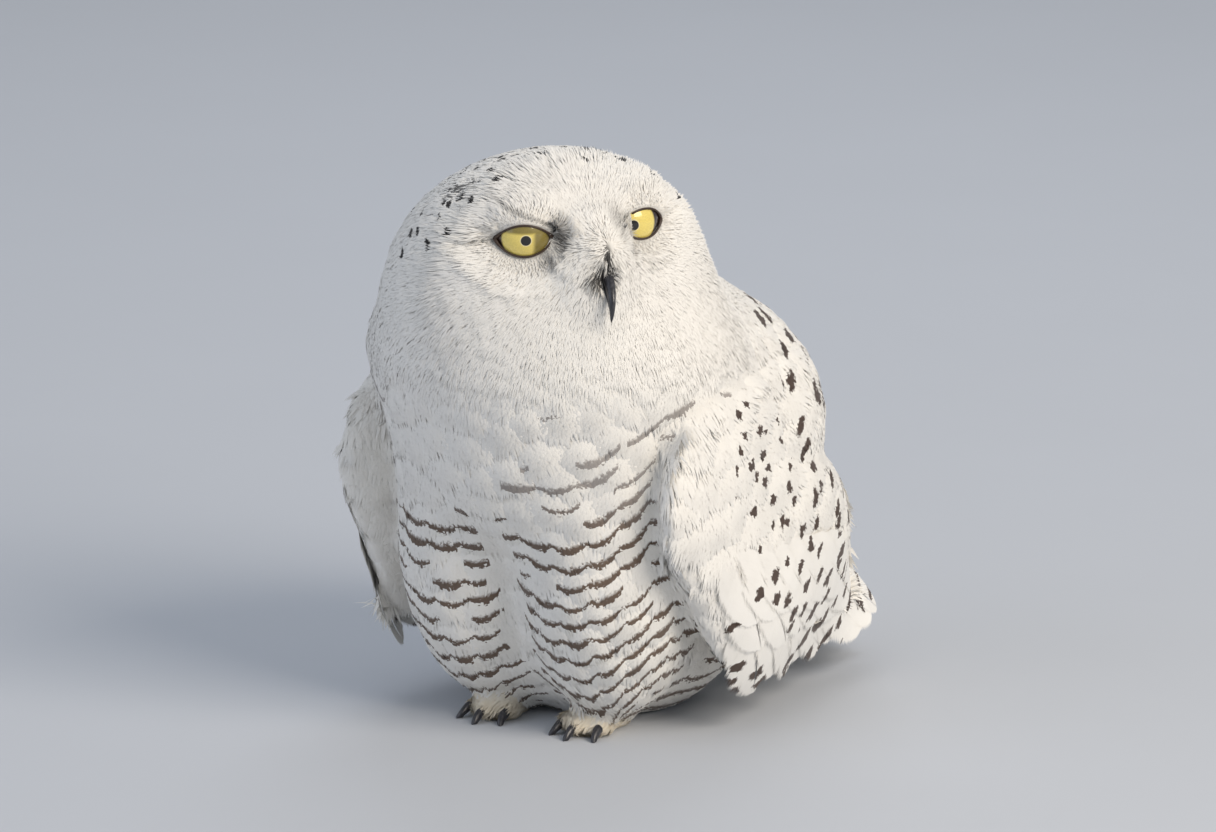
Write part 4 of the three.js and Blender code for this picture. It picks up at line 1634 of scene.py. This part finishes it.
@dataclass
class WingFace:
    """The outside of a folded wing, as a smooth height over Y and Z."""

    word: str
    skin: BVHTree
    degree: int = 4

    def __post_init__(self) -> None:
        """Fits the height to the wing in the frame."""
        self.side = SIDES[self.word]
        grid = np.stack(np.meshgrid(np.arange(-20, 290, 7.0), np.arange(29, 140, 5.0)), -1)
        yz = grid.reshape(-1, 2)
        high = self.cast(surface_of(f"wing_{self.word}"), yz)
        good = np.isfinite(high)
        self.fit = np.linalg.lstsq(self.terms(yz[good]), high[good], rcond=None)[0]

    def cast(self, tree: BVHTree, yz: Array) -> Array:
        """Returns how far out a surface lies at places, or nan beside it."""
        out = np.full(len(yz), np.nan)
        start = BIRD.to_mesh(np.c_[np.full(len(yz), self.side * 190.0), yz])
        for i, p in enumerate(start):
            gap = tree.ray_cast(Vector(p), Vector((-self.side, 0, 0)), 0.14)[3]
            if gap is not None:
                out[i] = 190.0 - gap / MM
        return out

    def terms(self, yz: Array) -> Array:
        """Returns the fit's terms at places."""
        y, z = (yz[:, 0] - 130) / 130, (yz[:, 1] - 80) / 60
        return np.stack([y ** i * z ** j for i in range(self.degree + 1)
                         for j in range(self.degree + 1 - i)], axis=1)

    def at(self, vane: Vane, u: Array, s: Array, rise: Array) -> tuple[Array, Array]:
        """Finds points of a feather that lies on the wing.

        Args:
            vane: The feather.
            u: Millimetres across it, towards the back.
            s: Shares of its length from its root.
            rise: How far each point stands over the surface.

        Returns:
            The points and the surface's normals there.
        """
        ahead = unit(vane.way)
        across = np.array([-ahead[1], ahead[0]])
        yz = vane.root + s[:, None] * vane.way + u[:, None] * across
        near = np.clip(yz, (-20, 29), (288, 140))
        high = self.terms(near) @ self.fit
        slope = np.stack([self.terms(near + step) @ self.fit - high
                          for step in ((1.0, 0.0), (0.0, 1.0))], axis=1)
        under = self.cast(self.skin, yz)
        high = np.where(np.isfinite(under), np.maximum(high, under + 0.8), high)
        out = self.side * (high + rise)
        return np.c_[out, yz], unit(np.c_[np.full(len(u), self.side), -slope])


@dataclass
class FlatFace:
    """A flat place for a feather of the tail or the rump."""

    face: Array
    droop: float = 3.0

    def at(self, vane: Vane, u: Array, s: Array, rise: Array) -> tuple[Array, Array]:
        """Finds points of a feather on its own flat face, as WingFace does."""
        ahead = unit(vane.way)
        n = flat_on(self.face, ahead)
        across = np.cross(ahead, n)
        sunk = 2.0 * (2 * u / vane.width) ** 2
        p = (vane.root + s[:, None] * vane.way + u[:, None] * across
             + (rise - sunk)[:, None] * n)
        p[:, 2] -= self.droop * np.clip(s, 0, 1.1) ** 3
        return p, unit(n + across * (0.5 * u / vane.width)[:, None])


@dataclass
class Feathers:
    """The large feathers of the wings and the tail, each built from barbs along a shaft."""

    material: bpy.types.Material
    skin: Skin
    barb_gap: float = 1.1
    barb_width: float = 2.6
    bar_gap: float = 21.0
    sunk: float = 4.0  # how deep the roots lie under the coat
    flight: int = 8  # flight feathers that show on each wing
    inner: int = 4  # long inner feathers behind them
    rectrices: int = 9  # tail feathers
    tail_fan: float = 26.0  # degrees from the middle one to the last
    count: int = 0

    def build(self) -> None:
        """Builds both wings' feathers and the tail."""
        tree = BVHTree.FromObject(self.skin.obj, bpy.context.evaluated_depsgraph_get())
        for word, side in SIDES.items():
            face = WingFace(word, tree)
            vanes = [(face, vane) for vane in self.wing(WING_LINES[word])]
            self.mesh(f"wing_feathers_{word}", vanes + self.rear(side))
        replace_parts(self.mesh("tail_feathers", self.tail()), "tail")
        LOG.info("large feathers have %d barbs", self.count)

    def wing(self, line: WingLine) -> list[Vane]:
        """Lists a wing's flight feathers and the coverts over their roots."""
        vanes = []
        for i in range(self.flight):
            root, way = line.at(i / (self.flight - 1))
            short = 0.92 if i % 2 else 1.0
            vanes.append(Vane(root, way * short, 54 if i % 2 == 0 else 48,
                              lift=-0.6 if i % 2 else 0.0))
        for row, (start, end, width) in enumerate(((-0.35, 0.52, 52), (-0.62, 0.2, 50))):
            for i in range(6 + row):
                root, way = line.at((i + 0.1) / (5 + row))
                reach = end + 0.05 * math.sin(1.9 * i + row)
                vanes.append(Vane(root + way * start, way * (reach - start), width,
                                  lift=0.5 + 0.5 * row))
        return vanes

    def rear(self, side: float) -> list[tuple[FlatFace, Vane]]:
        """Lists the long inner feathers that cross the rump towards the tail."""
        vanes = []
        for i in range(self.inner):
            t = i / (self.inner - 1)
            root = np.array([side * (94 - 10 * t), 189, 104 + 34 * t])
            tip = np.array([side * (82 - 22 * t), 297 - 6 * t, 37 + 26 * t])
            face = unit(np.array([side * (0.85 - 0.35 * t), 0.35, 0.35 + 0.4 * t]))
            root += face * (1.5 + 2.0 * t)
            vanes.append((FlatFace(face), Vane(root, tip - root, 36, bars=0.8)))
        return vanes

    def tail(self) -> list[tuple[FlatFace, Vane]]:
        """Lists the tail feathers, fanned from under the rump."""
        low, high = (BIRD.to_bird(np.array(c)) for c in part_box("tail"))
        start = np.array([0.0, low[1] - 29, 60.0])
        length = (high[1] - start[1]) * 1.03
        vanes = []
        half = self.rectrices // 2
        for i in range(-half, half + 1):
            turn = math.radians(self.tail_fan * i / half)
            way = np.array([math.sin(turn), math.cos(turn), -0.29]) * length
            root = start + way * 0.18 + [0, 0, 1.6 - 0.5 * abs(i)]
            vanes.append((FlatFace(np.array([0.0, 0.3, 1.0])),
                          Vane(root, way * 0.82, 36, bars=0.85)))
        return vanes

    def barbs(self, face: WingFace | FlatFace, vane: Vane,
              rng: np.random.Generator) -> tuple[Array, ...]:
        """Shapes the barbs and the shaft of one feather.

        Args:
            face: What the feather lies on.
            vane: The feather.
            rng: The source of chance.

        Returns:
            The tufts' points, their normals, and each point's place across and along.
        """
        length = np.linalg.norm(vane.way)
        half = vane.width / 2

        def outline(s: Array) -> Array:
            """Returns half the feather's width at shares of its length."""
            s = np.clip(s, 0, 1)
            return half * np.sqrt(1 - s ** 5) * np.minimum(1, 0.45 + 1.4 * s)

        count = int(length / self.barb_gap)
        s = np.repeat((np.arange(count) + 0.5) / count * 0.97, 2)
        hand = np.tile([1.0, -1.0], count)
        angle = np.radians(42 - 4 * s)
        tries = np.linspace(0, half, 40)[:, None]
        fits = tries <= outline(s + tries / np.tan(angle) / length) + 0.01
        reach = (tries * fits).max(0) * rng.uniform(0.95, 1.02, len(s))
        end = s + reach / np.tan(angle) / length
        wide = self.barb_width / 2 * rng.uniform(0.85, 1.25, len(s))
        u = np.stack([0 * s, hand * (reach * 0.6 - wide * np.cos(angle)),
                      hand * (reach * 0.6 + wide * np.cos(angle)), hand * reach * 0.6,
                      hand * reach], axis=1)
        mid = s * 0.4 + end * 0.6
        tip = wide * np.sin(angle) / length
        along = np.stack([s, mid + tip, mid - tip, mid, end], axis=1)
        rise = np.array([-0.5, 0.0, 0.0, 0.22, -0.1]) + np.zeros_like(u)
        rib = np.linspace(0.02, 0.88, 9)
        u = np.r_[u, np.tile([0, -0.5, 0.5, 0, 0], (9, 1))]
        along = np.r_[along, rib[:, None] + np.array([0, 0.06, 0.06, 0.06, 0.13])]
        rise = np.r_[rise, np.tile([0.1, 0.0, 0.0, 0.6, 0.1], (9, 1))]
        sunk = self.sunk * smooth(0.5, 0.0, along)
        rise = rise + vane.lift - sunk - vane.tilt * u / half
        p, n = face.at(vane, u.ravel(), along.ravel(), rise.ravel())
        lean = np.array([0.0, -0.1, 0.1, 0.0, 0.0]) + 0 * u
        p, n = p.reshape(-1, 5, 3), n.reshape(-1, 5, 3)
        facing = np.cross(p[:, 4] - p[:, 0], p[:, 1] - p[:, 2])
        wrong = (facing * n[:, 3]).sum(1) < 0
        p[wrong] = p[wrong][:, [0, 2, 1, 3, 4]]
        across = np.cross(unit(p[:, 4] - p[:, 0]), n[:, 0])[:, None]
        n = unit(n + across * lean[..., None] + rng.normal(0, 0.03, (len(n), 1, 1)) * across)
        return p, n, np.stack([u, along], axis=2)

    def mesh(self, name: str, vanes: list[tuple[WingFace | FlatFace, Vane]]
             ) -> bpy.types.Object:
        """Makes one joined mesh of feathers.

        Args:
            name: The piece's name.
            vanes: Each feather with what it lies on.

        Returns:
            The piece.
        """
        rng = np.random.default_rng(sum(map(ord, name)))
        columns = math.ceil(math.sqrt(len(vanes)))
        verts, turned, uv, paint = [], [], [], []
        for i, (face, vane) in enumerate(vanes):
            p, n, at = self.barbs(face, vane, rng)
            verts.append(p)
            turned.append(n)
            cell = np.array([i % columns, i // columns]) + 0.5
            spot = at[:, :1] * np.array([0.8 / vane.width, 0.8]) + np.array([0.0, -0.4])
            uv.append((spot + cell) / columns + (TUFT_MAP - np.array([0.5, 0.0])) * MAP_PATCH)
            jitter = np.repeat(rng.normal(0, 0.6, len(p)), 5)
            flat = p.reshape(-1, 3)
            along = at[..., 1].ravel()
            weights = np.tile(np.eye(len(Zone))[Zone.WING], (len(flat), 1))
            # the vanes keep to the paler half of the painted root shade
            made = MARKINGS.paint(flat, weights, 0.5 + 0.5 * along, jitter)
            if vane.bars:
                u = at[..., 0].ravel()
                row = (1 - along) * np.linalg.norm(vane.way) / self.bar_gap + 20.4
                row += 0.3 * math.sin(7.0 * i) + jitter / 25 + 0.3 * np.abs(u) / vane.width
                column = 3.0 * i + 30 + np.where(u >= 0, 1.3, 0.3)
                made["lay"][:, :2] = np.stack([column, row], axis=1)
                made["marks"][:, :2] = [vane.bars, 0.0]
            paint.append(made)
        verts, turned, uv = (np.concatenate(x) for x in (verts, turned, uv))
        verts[:, :, 2] = np.maximum(verts[:, :, 2], 0.3)
        joined = {key: np.concatenate([one[key] for one in paint]) for key in paint[0]}
        obj = tuft_mesh(name, verts, turned, uv, joined)
        dress(obj, self.material)
        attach(obj, ROOT)
        self.count += len(verts)
        return obj


# ------------------------------------------------------------------ studio

@dataclass
class Studio:
    """A pale floor, soft lights and a camera with a long lens."""

    azimuth: float = 35.0
    elevation: float = 14.0
    distance: float = 12000.0
    seen: float = 827.0  # width of the view at the bird
    aim: tuple[float, float] = (51.7, 212.2)  # right of and above the bird's own origin
    sky: str = "#e2e8f0"
    glow: float = 0.46  # strength of the sky

    def build(self) -> None:
        """Builds the floor, the lights, the world and the camera."""
        self.floor()
        self.world()
        self.lamp("key", 80, 34, 4200, 2260, 143, "#fff4e6")
        self.lamp("fill", -30, 25, 2600, 2200, 12, "#e0eaff")
        self.lamp("rim", 210, 45, 2600, 1500, 14, "#f4f7ff")
        self.camera()

    def centre(self) -> Vector:
        """Returns the middle of the bird, in metres."""
        low, high = CAD_BOX
        return (low + high) / 2

    def way(self, azimuth: float, elevation: float) -> Vector:
        """Returns the direction from the bird towards a place round it."""
        a, e = math.radians(azimuth), math.radians(elevation)
        return Vector((math.sin(a) * math.cos(e), -math.cos(a) * math.cos(e), math.sin(e)))

    def floor(self) -> None:
        """Lays a wide floor at the height the bird stands on."""
        bpy.ops.object.select_all(action="DESELECT")
        bpy.ops.mesh.primitive_plane_add(size=80)
        floor = bpy.context.object
        floor.name = floor.data.name = "studio_floor"
        dress(floor, Board().material())
        floor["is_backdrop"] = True

    def world(self) -> None:
        """Fills the studio with even pale light."""
        world = bpy.data.worlds.new("studio")
        world.use_nodes = True
        bpy.context.scene.world = world
        tree = world.node_tree
        back = tree.nodes["Background"]
        back.inputs["Color"].default_value = rgba(self.sky)
        back.inputs["Strength"].default_value = self.glow

    def lamp(self, name: str, azimuth: float, elevation: float, distance: float,
             size: float, power: float, colour: str) -> None:
        """Hangs a square soft light that points at the bird.

        Args:
            name: The light's name.
            azimuth: Where it hangs, in degrees round the bird.
            elevation: How high, in degrees.
            distance: How far away, in millimetres.
            size: Its width.
            power: Its power, in watts.
            colour: Its colour, in hex.
        """
        light = bpy.data.lights.new(name, "AREA")
        light.size = size * MM
        light.energy = power
        light.color = linear(colour)
        obj = new_object(name, light)
        way = self.way(azimuth, elevation)
        obj.location = self.centre() + way * distance * MM
        obj.rotation_euler = way.to_track_quat("Z", "Y").to_euler()

    def camera(self) -> None:
        """Places the camera so that the bird stands where it should in the view."""
        data = bpy.data.cameras.new("camera")
        data.sensor_width = 36
        data.lens = 36 * self.distance / self.seen
        data.clip_end = 200
        camera = new_object("camera", data)
        back = self.way(self.azimuth, self.elevation)
        turn = back.to_track_quat("Z", "Y")
        right, up = turn @ Vector((1, 0, 0)), turn @ Vector((0, 1, 0))
        start = Vector(BIRD.to_mesh(np.zeros(3)))
        aim = start + right * self.aim[0] * MM + up * self.aim[1] * MM
        camera.location = aim + back * self.distance * MM
        camera.rotation_euler = turn.to_euler()
        bpy.context.scene.camera = camera
        bpy.context.scene.view_settings.view_transform = "Standard"


# ------------------------------------------------------------------ the owl

def main() -> None:
    """Builds the owl and its studio."""
    logging.basicConfig(level=logging.INFO, format="%(name)s %(message)s")
    Studio().build()
    plumage = Plumage().material()
    horn = Horn().material()
    skin = Skin()
    skin.build()
    skin.finish(plumage)
    LOG.info("skin has %d faces", len(skin.obj.data.polygons))
    # only the right eye gets the painted shadow of the brow; the left one is lit
    balls = {"left": Eyeball(cast=0.0).material(), "right": Eyeball().material()}
    Eyes().build(balls, BareSkin().material())
    HornParts().build(horn)
    Coat(skin, plumage).build()
    Feathers(plumage, skin).build()
    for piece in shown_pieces():
        LOG.info("%s: %d faces", piece.name, len(piece.data.polygons))


if __name__ == "__main__":
    main()
